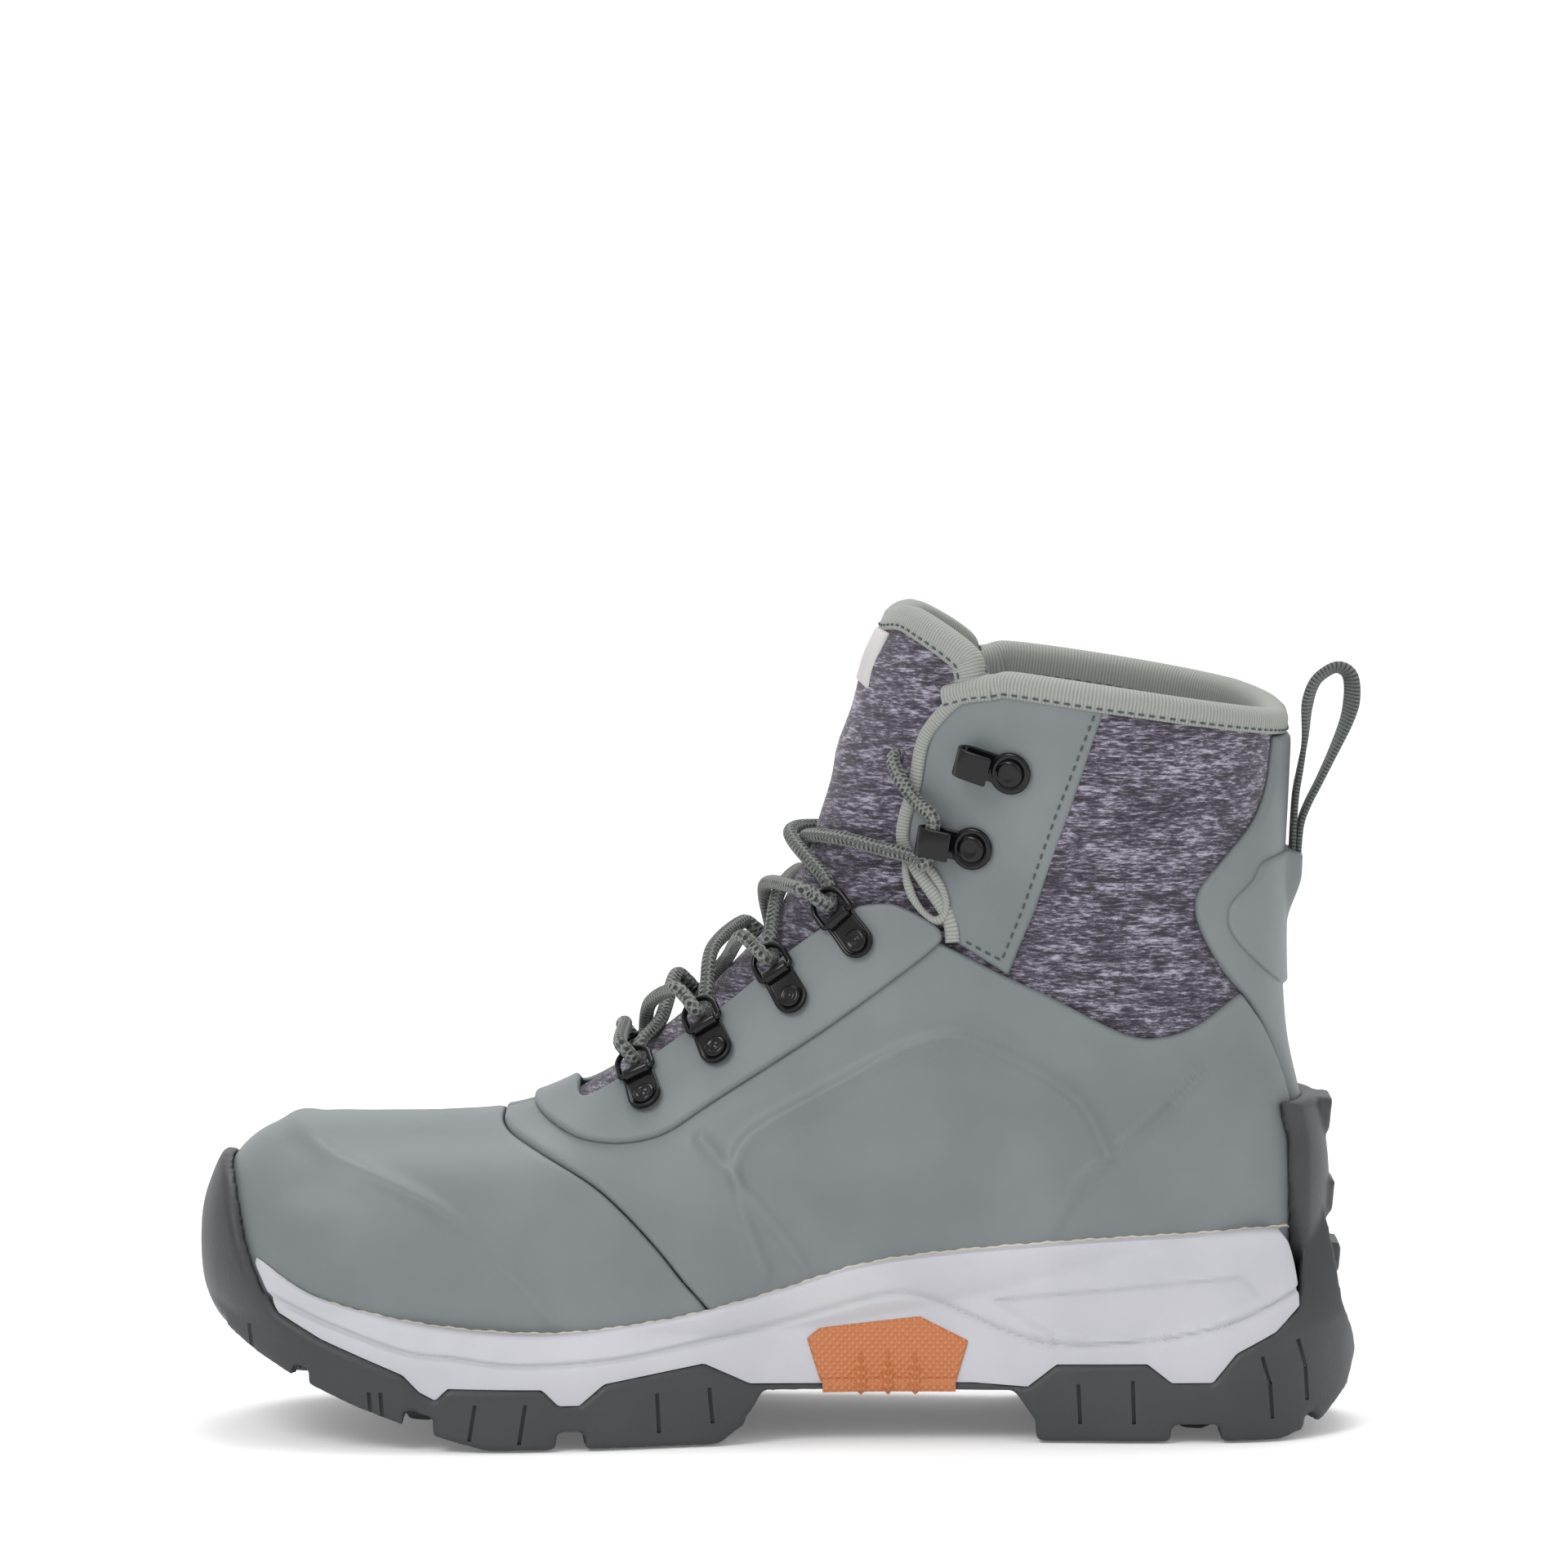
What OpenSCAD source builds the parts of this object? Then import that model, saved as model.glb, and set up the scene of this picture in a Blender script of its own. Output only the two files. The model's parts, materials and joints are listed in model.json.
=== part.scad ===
// Mid-cut hiking boot: a knit sock bootie in a moulded rubber cage on a cupped, lugged sole.
// The toe points along -X, the heel along +X, and the inner side of the foot along -Y.
// The origin lies on the ground, below the middle of the outsole.

/* [Boot] */
// Length of the outsole from toe to heel
sole_length = 305; // [275:1:330]
// Width of the outsole at the ball of the foot
sole_width = 110; // [100:1:120]
// Height of the top of the tongue above the ground
boot_height = 218; // [200:1:235]

/* [Upper] */
// Wall of the knit bootie
bootie_wall = 3.5; // [2.5:0.1:4]
// Wall of the inner lining
lining_wall = 0.9; // [0.6:0.1:1.2]
// Wall of the rubber cage
cage_wall = 2.1; // [1.2:0.1:2.2]
// Wall of the eyestay and the heel tab, which lie on the cage
overlay_wall = 1.7; // [1:0.1:2]

/* [Sole] */
// Height of the lugs under the outsole
lug_height = 4.5; // [3:0.5:6]
// Thickness of the removable insole
insole_thickness = 5; // [4:0.5:6]

/* [Lacing] */
// Diameter of the round lace
lace_d = 3.8; // [3:0.1:4]
// Diameter of the wire of a D-ring
ring_wire = 1.6; // [1.4:0.1:1.8]
// Width of a D-ring between the middles of its legs
ring_width = 9.2; // [9:0.1:10]
// Width of the folded straps that hold the D-rings
strap_width = 7; // [6.5:0.1:7.2]
// Width of a speed hook
hook_width = 8.7; // [8:0.1:10]

/* [Hidden] */

stretch = [sole_length / 305, sole_width / 110, boot_height / 218];
gap = 0.05;          // between panels that are glued face to face
seam = 0.2;          // between panels that are stitched edge to edge
cage_out = gap + cage_wall;
overlay_in = cage_out + gap;
overlay_out = overlay_in + overlay_wall;
sole_seat = cage_out + 0.15;
midsole_rim = 1.8;
lining_out = -bootie_wall - 1.15;
lining_in = lining_out - lining_wall;
stiffener_out = -bootie_wall - gap;
stiffener_in = lining_out + gap;
round_steps = 28;
body_half = 90;

// ---- The last: one smooth surface from the toe to the collar ----
// Each station is a cross-section: front point x, z; rear point x, z; inner and outer half widths;
// middle y; place of the widest point from the rear (0 to 1); roundness at the front and the rear.
STATIONS = [
    [-147, 56, -147, 44, 7, 7, -6, 0.5, 2, 2],
    [-145.5, 62, -146, 38, 15, 14, -5.5, 0.5, 2.2, 2.2],
    [-141.5, 70.5, -142.5, 32, 25, 23.5, -4.5, 0.45, 2.4, 2.6],
    [-134, 76.5, -136, 28, 34, 33, -3.5, 0.42, 2.4, 3],
    [-122, 79.5, -123, 25, 40.5, 41, -2, 0.4, 2.4, 3.2],
    [-106, 79.5, -105, 22.5, 44.5, 46.5, -1, 0.38, 2.4, 3.4],
    [-88, 79.7, -84, 21, 46.5, 49.5, 0, 0.36, 2.3, 3.6],
    [-70, 81.5, -60, 20, 46, 51, 0, 0.34, 2.2, 3.6],
    [-52, 88.5, -33, 20.5, 43, 50, 0, 0.32, 2, 3.6],
    [-34, 101, -3, 23, 40, 46, 0, 0.3, 1.9, 3.4],
    [-16.5, 116.5, 30, 27, 37.5, 42, 0, 0.3, 1.9, 3.2],
    [-1.5, 133, 65, 30, 36.5, 39.5, 0, 0.3, 1.9, 3],
    [6.5, 148, 98, 32, 36, 38, 0, 0.32, 2, 2.8],
    [11, 160, 122, 35, 36, 37, 0, 0.34, 2, 2.6],
    [13.5, 169.5, 134, 46, 36, 36.5, 0, 0.36, 2, 2.5],
    [15.3, 177.5, 137.5, 62, 36, 36, 0, 0.38, 2, 2.4],
    [17.6, 184.5, 136, 80, 36.5, 36.5, 0, 0.4, 2, 2.3],
    [19.4, 190.5, 131, 103, 37, 37, 0, 0.42, 2, 2.3],
    [21.2, 196.5, 129.5, 125, 38.5, 38.5, 0, 0.44, 2, 2.3],
    [23.2, 203, 130, 147, 40.5, 40.5, 0, 0.46, 2, 2.3],
    [26.5, 210, 131, 168, 42, 42, 0, 0.48, 2, 2.3],
    [34, 227, 132.5, 200, 43, 43, 0, 0.5, 2, 2.3]
];
last_station = len(STATIONS) - 1;
ROWS = [for (i = [0:0.5:4]) i, for (i = [4.75:0.75:last_station]) i, last_station];
TURNS = [for (i = [0:round_steps - 1]) 360 * i / round_steps];

function limit(v, low, high) = min(max(v, low), high);
function spline(a, b, c, d, t) =
    0.5 * (2 * b + (c - a) * t + (2 * a - 5 * b + 4 * c - d) * t * t + (3 * b - a - 3 * c + d) * t * t * t);
function station(u) =
    let (i = limit(floor(u), 0, last_station - 1))
    spline(STATIONS[max(i - 1, 0)], STATIONS[i], STATIONS[i + 1], STATIONS[min(i + 2, last_station)], u - i);

// A point of the last: u runs from the toe to the collar, a turns from the front over the inner side.
function last_point(u, a) =
    let (
        s = station(u), front = [s[0], s[1]], rear = [s[2], s[3]], turn = (a + 720) % 360,
        half_width = turn < 180 ? -s[4] : s[5], widest = s[7],
        power = 2 / (cos(turn) >= 0 ? s[8] : s[9]),
        rise = cos(turn) >= 0 ? widest + (1 - widest) * pow(cos(turn), power)
                              : widest * (1 - pow(-cos(turn), power)),
        p = rear + rise * (front - rear)
    )
    [p[0] * stretch[0], (s[6] + half_width * pow(abs(sin(turn)), power)) * stretch[1], p[1] * stretch[2]];

function unit(v) = v / norm(v);
function along_u(u, a) = last_point(min(u + 0.02, last_station), a) - last_point(max(u - 0.02, 0), a);
function around_a(u, a) = last_point(u, a + 2) - last_point(u, a - 2);
function outward(u, a) = unit(cross(around_a(u, a), along_u(u, a)));
SKIN = [for (u = ROWS) [for (a = TURNS) last_point(u, a)]];
SKIN_OUT = [for (u = ROWS) [for (a = TURNS) outward(u, a)]];

// The last made thicker (or thinner) by t all over.
module loft(t) {
    rings = len(ROWS);
    polyhedron(
        points = [for (i = [0:rings - 1]) for (j = [0:round_steps - 1]) SKIN[i][j] + t * SKIN_OUT[i][j]],
        faces = [
            for (i = [0:rings - 2]) for (j = [0:round_steps - 1])
                let (k = (j + 1) % round_steps, p = i * round_steps, q = p + round_steps)
                each [[p + j, q + j, p + k], [p + k, q + j, q + k]],
            [for (j = [0:round_steps - 1]) j],
            [for (j = [round_steps - 1:-1:0]) (rings - 1) * round_steps + j]
        ]);
}

// ---- Outlines in the side view, as x, z points ----
VAMP_SEAM = [[-61, 100], [-66, 90], [-73.5, 83], [-70.7, 79], [-63.4, 75.9], [-49.9, 68.3], [-40.9, 60.8],
             [-31.8, 51], [-25.4, 42.8], [-18.9, 34.9], [-8, 18]];
TONGUE_EDGE = [[-61, 92], [-56, 86], [-50, 86], [-41, 90.5], [-27, 100.5], [-13, 110.5], [3, 123.5], [20, 135.5],
               [31, 143], [36.5, 153], [38, 170], [46, 193], [51, 197]];
THROAT_EDGE = [[-60, 99], [-56, 91.5], [-51.6, 88.6], [-41.9, 93.9], [-28.4, 103.2], [-15.3, 112.5],
               [1.5, 126.5], [20.6, 139.2]];
EYESTAY_EDGE = [[20.6, 139.2], [27.7, 139.9], [33.1, 138.3], [41.2, 133.6], [41.3, 130], [31, 121.7],
                [9.5, 106.1], [-18.5, 88.3], [-29.2, 81.4], [-37.8, 78.8], [-46.4, 78.5], [-55, 80.5],
                [-64.7, 85.4], [-68, 92], [-66, 99]];
KNIT_EDGE = [[41.7, 130], [60, 121], [69.9, 116.6], [84.7, 109], [92.7, 106], [99.5, 106], [108.4, 108.8],
             [120.8, 116.6]];
STAY_EDGE = [[129.6, 182.7], [128.1, 170.9], [124.3, 161.4], [116.3, 152.2], [109.4, 144.4], [108.1, 138.4],
             [110.5, 131.4], [115.5, 123.1], [120.8, 116.6]];
HEEL_SEAM = [[120.8, 116.6], [124.3, 111.8], [128.1, 105.4], [133.1, 92.5], [136.3, 77.3], [137, 72]];
TAB_EDGE = [[134, 152.3], [126.2, 149.8], [123.8, 145.5], [118.2, 141], [116.7, 137.1], [117.8, 132.1],
            [124, 125], [134, 116]];
FLAP_FRONT = [[54.6, 197], [49, 196.8], [43.9, 194], [36.3, 184.1], [33.5, 170.9], [31, 162.2],
              [30.5, 155.7], [33.1, 149.4], [41.7, 136.8], [42.5, 130.2]];
FLAP_REAR = [[58.9, 121.6], [65.8, 138.4], [74.5, 164], [83.2, 190]];
COLLAR_LINE = [[53.3, 200.6], [58.9, 200.8], [74, 198.9], [95.5, 195.6], [117, 192.1],
               [134, 189]];
TONGUE_TOP = [[53, 200.5], [51.4, 206], [47.1, 210.3], [39.6, 215.3], [34.2, 218], [29.9, 217], [24, 214]];
SOLE_EDGE = [[-138.9, 49.8], [-130.3, 43.3], [-119.5, 38.3], [-98, 33.1], [-76.5, 30.3], [-55, 29.7],
             [-33.5, 32.1], [-18.5, 35.1], [0.9, 40.5], [20.2, 46.5], [41.7, 49.8], [74, 52.4],
             [106.2, 54.1], [130.9, 54.7], [135.2, 51.9], [136.4, 46.5]];
SOLE_FLOOR = [[136.4, 34.8], [129.9, 28.4], [118, 23], [112.7, 15.4], [101.9, 15.4], [95.5, 20.4],
              [71.8, 20.2], [64.3, 14.3], [50.3, 15.4], [9.5, 15.4], [-7.7, 15.8], [-19.6, 21.4],
              [-45.4, 16.9], [-51.8, 11.5], [-57.2, 11.5], [-61.5, 15.8], [-86.2, 16.3], [-89.4, 13.2],
              [-93.7, 15.4], [-98, 19.7], [-119.5, 28.4], [-131.4, 34.8], [-138.9, 47.5]];
TREAD = [[152.4, 21], [149.5, 11], [142.5, 4], [131, 0], [67, 0], [61, 13.4], [-4.5, 14.5], [-8, 6],
         [-16, 0], [-76, 0], [-92, 4.5], [-110, 11], [-126, 18], [-137, 24], [-144.5, 29], [-149.5, 34],
         [-152.4, 42]];
HEEL_BACK = [[136.6, 48], [145.5, 47.7], [147.8, 36], [151, 27]];
ARCH_BLOCK = [[6.9, 27.3], [10.1, 30.1], [36.3, 32.9], [49, 26.2], [46, 15.6], [10.5, 15.6]];
// Outline of the outsole seen from above, as x, y points.
SOLE_PLAN = [[-152.4, -8], [-146, -30], [-128, -46], [-100, -53.5], [-72, -55], [-45, -51], [-15, -44],
             [20, -38.5], [60, -38.5], [100, -40], [130, -36], [147, -20], [152.6, 0], [147, 20], [130, 37],
             [100, 42], [60, 43], [20, 47], [-15, 51.5], [-45, 54.5], [-72, 55], [-103, 50.5], [-128, 40],
             [-144, 24], [-151, 7]];

function fit_side(points) = [for (p = points) [p[0] * stretch[0], p[1] * stretch[2]]];
function fit_plan(points) = [for (p = points) [p[0] * stretch[0], p[1] * stretch[1]]];
function backwards(points) = [for (i = [len(points) - 1:-1:0]) points[i]];
function moved(points, step) = [for (p = points) p + step];
function closed_curve(points, steps) =
    let (n = len(points))
    [for (i = [0:n - 1]) for (k = [0:steps - 1])
        spline(points[(i + n - 1) % n], points[i], points[(i + 1) % n], points[(i + 2) % n], k / steps)];

// A wall through the whole boot with a side-view outline, on the inner, the outer or both sides.
module side_cut(points, side = "both") {
    from = side == "lateral" ? seam / 2 : -body_half;
    to = side == "medial" ? -seam / 2 : body_half;
    translate([0, to, 0]) rotate([90, 0, 0]) linear_extrude(to - from) polygon(fit_side(points));
}

module plan_cut(inset, low, high) {
    shrink = [1 - 2 * inset / 305, 1 - 2 * inset / 110];
    points = [for (p = closed_curve(SOLE_PLAN, 3)) [p[0] * shrink[0], p[1] * shrink[1]]];
    translate([0, 0, low]) linear_extrude(high - low) polygon(fit_plan(points));
}

// A smooth skin is kept as one mesh.
module freeform() {
    resize([0, 0, 0]) children();
}

// A panel of the upper: the layer of the last from t_in to t_out inside an outline.
module panel(t_in, t_out, outline, side = "both") {
    intersection() {
        difference() {
            loft(t_out);
            loft(t_in);
        }
        side_cut(outline, side);
    }
}

// ---- Sole ----
module board_space(t, margin) {
    intersection() {
        loft(t);
        plan_cut(19 - margin, 0, 60);
        side_cut([[-140, 0], [-140, 44], [-60, 36], [20, 44], [140, 54], [140, 0]]);
    }
}

module shank_space(t) {
    intersection() {
        loft(t);
        translate([-42, -11, 0]) cube([120, 22, 60]);
    }
}

module toe_bumper() {
    panel(sole_seat, 5.4, concat([[-170, 74.5], [-146.4, 74.5]],
        [[-144.3, 69], [-142.5, 60.5], [-141, 54], [-138.9, 48], [-134.6, 37.8], [-131.4, 30], [-170, 20]]));
}

module heel_bumper() {
    panel(sole_seat, 7.4, [[133.5, 88], [141, 88.5], [170, 80], [170, 22], [128, 22], [136.6, 36], [136.6, 50],
        [136, 78]]);
}

module tread_grooves() {
    for (x = [-122, -106, -90, -74, -56, -38, -22, 82, 97, 112, 127])
        translate([x * stretch[0], -body_half, -1]) cube([3.5, 2 * body_half, lug_height + 1]);
    for (y = [-22, 0, 22])
        translate([-170, y * stretch[1] - 1.5, -1]) cube([340, 3, lug_height + 1]);
}

module outsole() {
    color([0.24, 0.245, 0.25]) freeform() difference() {
        union() {
            intersection() {
                plan_cut(0, 0, 60);
                side_cut(concat(TREAD, [[-138.9, 47.5]], backwards(moved(SOLE_FLOOR, [0, -0.05])), HEEL_BACK));
            }
            toe_bumper();
            heel_bumper();
        }
        loft(sole_seat);
        shank_space(sole_seat + 1.7);
        tread_grooves();
        side_cut(moved(ARCH_BLOCK, [0, -0.05]));
    }
}

module midsole() {
    color([0.78, 0.78, 0.81]) freeform() difference() {
        union() {
            intersection() {
                plan_cut(1.5, 0, 60);
                side_cut(concat(SOLE_EDGE, moved(SOLE_FLOOR, [0, 0.05])));
            }
            // The rim stays outside the upper where the waist is narrower than the last.
            panel(0, sole_seat + midsole_rim, concat(SOLE_EDGE, moved(SOLE_FLOOR, [0, 0.05])));
        }
        loft(sole_seat);
        shank_space(sole_seat + 1.7);
        side_cut(ARCH_BLOCK);
    }
}

module arch_stabiliser() {
    inset = 0.25;
    block = [[6.9 + inset, 27.3], [10.1 + inset, 29.8], [36.3, 32.6], [48.7, 26.2], [45.7, 15.8], [10.7, 15.8]];
    color([0.77, 0.46, 0.27]) freeform() difference() {
        intersection() {
            plan_cut(0.8, 0, 60);
            side_cut(block);
        }
        loft(sole_seat + gap);
        shank_space(sole_seat + 1.75);
    }
}

module shank() {
    color([0.5, 0.51, 0.53]) freeform() intersection() {
        difference() {
            loft(sole_seat + 1.6);
            loft(sole_seat + 0.02);
        }
        translate([-41.8, -10.8, 0]) cube([119.6, 21.6, 60]);
    }
}

module lasting_board() {
    color([0.75, 0.7, 0.6]) freeform() difference() {
        board_space(cage_out, 0);
        loft(gap);
    }
}

module insole() {
    color([0.32, 0.33, 0.35]) freeform() difference() {
        intersection() {
            loft(lining_in - gap);
            plan_cut(14, 0, 70);
            side_cut([[-150, 0], [-150, 50], [-60, 40], [20, 46], [85, 52], [150, 66], [150, 0]]);
        }
        translate([0, 0, insole_thickness]) loft(lining_in - gap);
    }
}

// ---- Upper ----
KNIT_FRONT = [for (i = [0:len(TONGUE_EDGE) - 2]) TONGUE_EDGE[i]];
module bootie() {
    color([0.36, 0.32, 0.39]) freeform()
        panel(-bootie_wall, 0, concat(KNIT_FRONT, moved(COLLAR_LINE, [0.5, -5]),
            [[170, 180], [170, 0], [-170, 0], [-170, 92]]));
}

module lining() {
    color([0.42, 0.42, 0.44]) freeform()
        panel(lining_in, lining_out, concat(KNIT_FRONT, moved(COLLAR_LINE, [0.5, -5]),
            [[170, 180], [170, 0], [-170, 0], [-170, 92]]));
}

module toe_puff() {
    color([0.85, 0.83, 0.78]) freeform()
        panel(stiffener_in, stiffener_out, [[-170, 38], [-170, 110], [-122, 110], [-112, 60], [-118, 34]]);
}

module heel_counter() {
    color([0.85, 0.83, 0.78]) freeform()
        panel(stiffener_in, stiffener_out, [[88, 38], [96, 92], [120, 112], [170, 114], [170, 38]]);
}

module toe_vamp() {
    color([0.43, 0.47, 0.47]) freeform() difference() {
        panel(gap, cage_out, concat(VAMP_SEAM, [[-170, 18], [-170, 100]]));
        board_space(10, 0.3);
        side_cut(concat(TONGUE_EDGE, [[20, 230], [-61, 230]]));
    }
}

module quarter(side) {
    outline = concat([[20, 135], [27.7, 137.9], [32.5, 136.5], [39.5, 132.5]], moved(KNIT_EDGE, [-seam, -seam]),
        moved(HEEL_SEAM, [-seam, -seam]), [[170, 72 - seam], [170, 18]],
        backwards(moved(VAMP_SEAM, [seam, 0])));
    color([0.43, 0.47, 0.47]) freeform() difference() {
        panel(gap, cage_out, outline, side);
        board_space(10, 0.3);
        side_cut(concat(TONGUE_EDGE, [[20, 230], [-61, 230]]));
    }
}

module quarter_medial() {
    quarter("medial");
}

module quarter_lateral() {
    quarter("lateral");
}

module eyestay() {
    color([0.45, 0.49, 0.49]) freeform()
        panel(overlay_in, overlay_out, concat(THROAT_EDGE, EYESTAY_EDGE));
}

module flap(side) {
    color([0.44, 0.47, 0.48]) freeform()
        panel(gap, cage_out, concat(moved(FLAP_FRONT, [3.2, 0]), FLAP_REAR, [[57, 195.2]]), side);
}

module flap_medial() {
    flap("medial");
}

module flap_lateral() {
    flap("lateral");
}

module flap_binding(side) {
    color([0.55, 0.57, 0.54]) freeform()
        panel(gap, cage_out + 0.6, concat(FLAP_FRONT, backwards(moved(FLAP_FRONT, [3.2 - seam, 0]))), side);
}

module flap_binding_medial() {
    flap_binding("medial");
}

module flap_binding_lateral() {
    flap_binding("lateral");
}

module heel_stay() {
    color([0.43, 0.47, 0.47]) freeform()
        panel(gap, cage_out, concat(STAY_EDGE, HEEL_SEAM, [[170, 72], [170, 182.7]]));
}

module heel_tab() {
    color([0.43, 0.47, 0.47]) freeform() panel(overlay_in, overlay_out, concat(TAB_EDGE, [[170, 116], [170, 152.3]]));
}

// The webbing of the pull loop, as x, z points from the anchor up the heel and back down.
LOOP_PATH = [[135, 158.5], [135.4, 166], [136.8, 173], [138, 180.5], [138.4, 189.8], [140.5, 195.5],
             [144, 198.6], [147.1, 199.4], [149.8, 197.2], [150.3, 191.7], [149, 185.7], [146, 178.5],
             [141.5, 169.5], [138.3, 163], [137, 158.5]];
loop_width = 10;
webbing = 1.5;
module band(points, thickness) {
    for (i = [0:len(points) - 2]) hull() {
        translate(points[i]) circle(d = thickness, $fn = 16);
        translate(points[i + 1]) circle(d = thickness, $fn = 16);
    }
}

module pull_loop() {
    color([0.28, 0.28, 0.3]) translate([0, loop_width / 2, 0]) rotate([90, 0, 0]) linear_extrude(loop_width) {
        band(fit_side(LOOP_PATH), webbing);
        translate(fit_side([[136, 158.5]])[0]) square([3.4, 2.4], center = true);
    }
}

module loop_anchor() {
    color([0.28, 0.28, 0.3]) freeform() intersection() {
        difference() {
            loft(overlay_out + 1.6);
            loft(overlay_out + gap);
        }
        translate([120 * stretch[0], -loop_width / 2, 143 * stretch[2]]) cube([40, loop_width, 13.7]);
    }
}

// ---- Tongue and collar ----
tongue_wall = 5;
tongue_out = -0.3;
module tongue() {
    color([0.36, 0.32, 0.39]) freeform()
        panel(tongue_out - tongue_wall, tongue_out, concat(moved(TONGUE_EDGE, [-0.3, 0.3]),
            moved(TONGUE_TOP, [0, -4.2]), [[0, 205], [-61, 110]]));
}

module tongue_binding() {
    color([0.55, 0.57, 0.54]) freeform()
        panel(tongue_out - tongue_wall - 0.4, tongue_out + 0.4,
            concat(TONGUE_TOP, backwards(moved(TONGUE_TOP, [0, -4]))));
}

module tongue_patch() {
    color([0.4, 0.41, 0.42]) freeform() intersection() {
        difference() {
            loft(0.9);
            loft(tongue_out + gap);
        }
        translate([0, -12, 186 * stretch[2]]) cube([40, 24, 20]);
    }
}

module collar_binding() {
    color([0.55, 0.57, 0.54]) freeform()
        panel(lining_in - 0.3, 0,
            concat(COLLAR_LINE, [[170, 189], [170, 184.2]], backwards(moved(COLLAR_LINE, [0, -4.8]))));
}

// ---- Hardware: places on the last as u, a, and the turn of the piece about the surface normal ----
RING_PLACES = [[8.78, 28.6], [9.72, 28.6], [10.73, 30.3], [12, 34.2]];
HOOK_PLACES = [[15.95, 57.6, 30], [18.35, 69.2, 14]];
ring_reach = 4;
strap_plate = 1.3;
knuckle_r = 1.7;
pin_clearance = 0.15;
strap_length = 12.5;
ring_lift = overlay_out + gap + knuckle_r;

// Stands a piece on the last: its X runs toward the throat, its Y up the boot and its Z outward.
module on_last(u, a, lift, turn = 0, side = "medial") {
    angle = side == "medial" ? a : 360 - a;
    z = outward(u, angle);
    x = unit((side == "medial" ? -1 : 1) * around_a(u, angle));
    y = unit(cross(z, x));
    p = last_point(u, angle) + lift * z;
    multmatrix([[x[0], y[0], z[0], p[0]], [x[1], y[1], z[1], p[1]], [x[2], y[2], z[2], p[2]], [0, 0, 0, 1]])
        rotate([0, 0, side == "medial" ? turn : -turn]) children();
}

module strap() {
    difference() {
        union() {
            rotate([90, 0, 0]) cylinder(r = knuckle_r, h = strap_width, center = true, $fn = 48);
            translate([-strap_length + 4.5, -4.5, -knuckle_r])
                cube([strap_length - 4.5, 9, strap_plate]);
            translate([-strap_length + 4.5, 0, -knuckle_r]) cylinder(r = 4.5, h = strap_plate, $fn = 48);
            translate([-4, -4.5, -knuckle_r]) cube([4, 9, strap_plate]);
        }
        rotate([90, 0, 0]) cylinder(r = ring_wire / 2 + pin_clearance, h = 20, center = true, $fn = 48);
        translate([-1.9, strap_width / 2, -knuckle_r - 1]) cube([4, 4, 4]);
        translate([-1.9, -strap_width / 2 - 4, -knuckle_r - 1]) cube([4, 4, 4]);
        translate([-strap_length + 4.5, 0, -5]) cylinder(r = 2, h = 10, $fn = 32);
    }
}

module ring_straps() {
    color([0.07, 0.07, 0.08]) for (side = ["medial", "lateral"]) for (p = RING_PLACES)
        on_last(p[0], p[1], ring_lift, 0, side) strap();
}

module strap_rivets() {
    color([0.07, 0.07, 0.08]) for (side = ["medial", "lateral"]) for (p = RING_PLACES)
        on_last(p[0], p[1], ring_lift, 0, side) translate([-strap_length + 4.5, 0, -knuckle_r]) {
            cylinder(r = 1.9, h = strap_plate, $fn = 32);
            translate([0, 0, strap_plate]) cylinder(r = 3, h = 0.8, $fn = 48);
        }
}

// A bent wire: a straight bar in the strap, two round corners, two legs and a half circle.
module d_ring() {
    r = ring_width / 2;
    wire = ring_wire / 2;
    corner = 1;
    rotate([90, 0, 0]) cylinder(r = wire, h = ring_width - 2 * corner, center = true, $fn = 32);
    for (s = [0, 1]) mirror([0, s, 0]) {
        translate([corner, r - corner, 0]) rotate([0, 0, 90]) rotate_extrude(angle = 90, $fn = 48)
            translate([corner, 0]) circle(r = wire, $fn = 32);
        translate([corner, r, 0]) rotate([0, 90, 0]) cylinder(r = wire, h = ring_reach - corner, $fn = 32);
    }
    translate([ring_reach, 0, 0]) rotate([0, 0, -90]) rotate_extrude(angle = 180, $fn = 64)
        translate([r, 0]) circle(r = wire, $fn = 32);
}

module ring(side, i) {
    p = RING_PLACES[i - 1];
    color([0.07, 0.07, 0.08]) on_last(p[0], p[1], ring_lift, 0, side) d_ring();
}

module hook_profile() {
    // A flat foot, a round bend toward the throat and a lip that returns over the lace.
    bend = lace_d / 2 + 0.4;
    plate = 1;
    difference() {
        union() {
            square([11, plate]);
            translate([11, plate + bend]) circle(r = bend + plate, $fn = 48);
            translate([4.6, plate + 2 * bend]) square([6.4, plate]);
        }
        translate([11, plate + bend]) circle(r = bend, $fn = 48);
        translate([0, plate]) square([11, 2 * bend]);
    }
}

module speed_hook() {
    difference() {
        union() {
            cylinder(r = 5.4, h = 1, $fn = 48);
            translate([0, hook_width / 2, 0]) rotate([90, 0, 0]) linear_extrude(hook_width) hook_profile();
        }
        translate([0, 0, -1]) cylinder(r = 2, h = 4, $fn = 32);
    }
}

module speed_hooks() {
    color([0.07, 0.07, 0.08]) for (side = ["medial", "lateral"]) for (p = HOOK_PLACES)
        on_last(p[0], p[1], cage_out + 0.35, p[2], side) speed_hook();
}

module hook_rivets() {
    color([0.07, 0.07, 0.08]) for (side = ["medial", "lateral"]) for (p = HOOK_PLACES)
        on_last(p[0], p[1], cage_out + 0.35, p[2], side) {
            cylinder(r = 1.9, h = 1.1, $fn = 32);
            translate([0, 0, 1.05]) cylinder(r = 3.6, h = 0.9, $fn = 48);
        }
}

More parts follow.
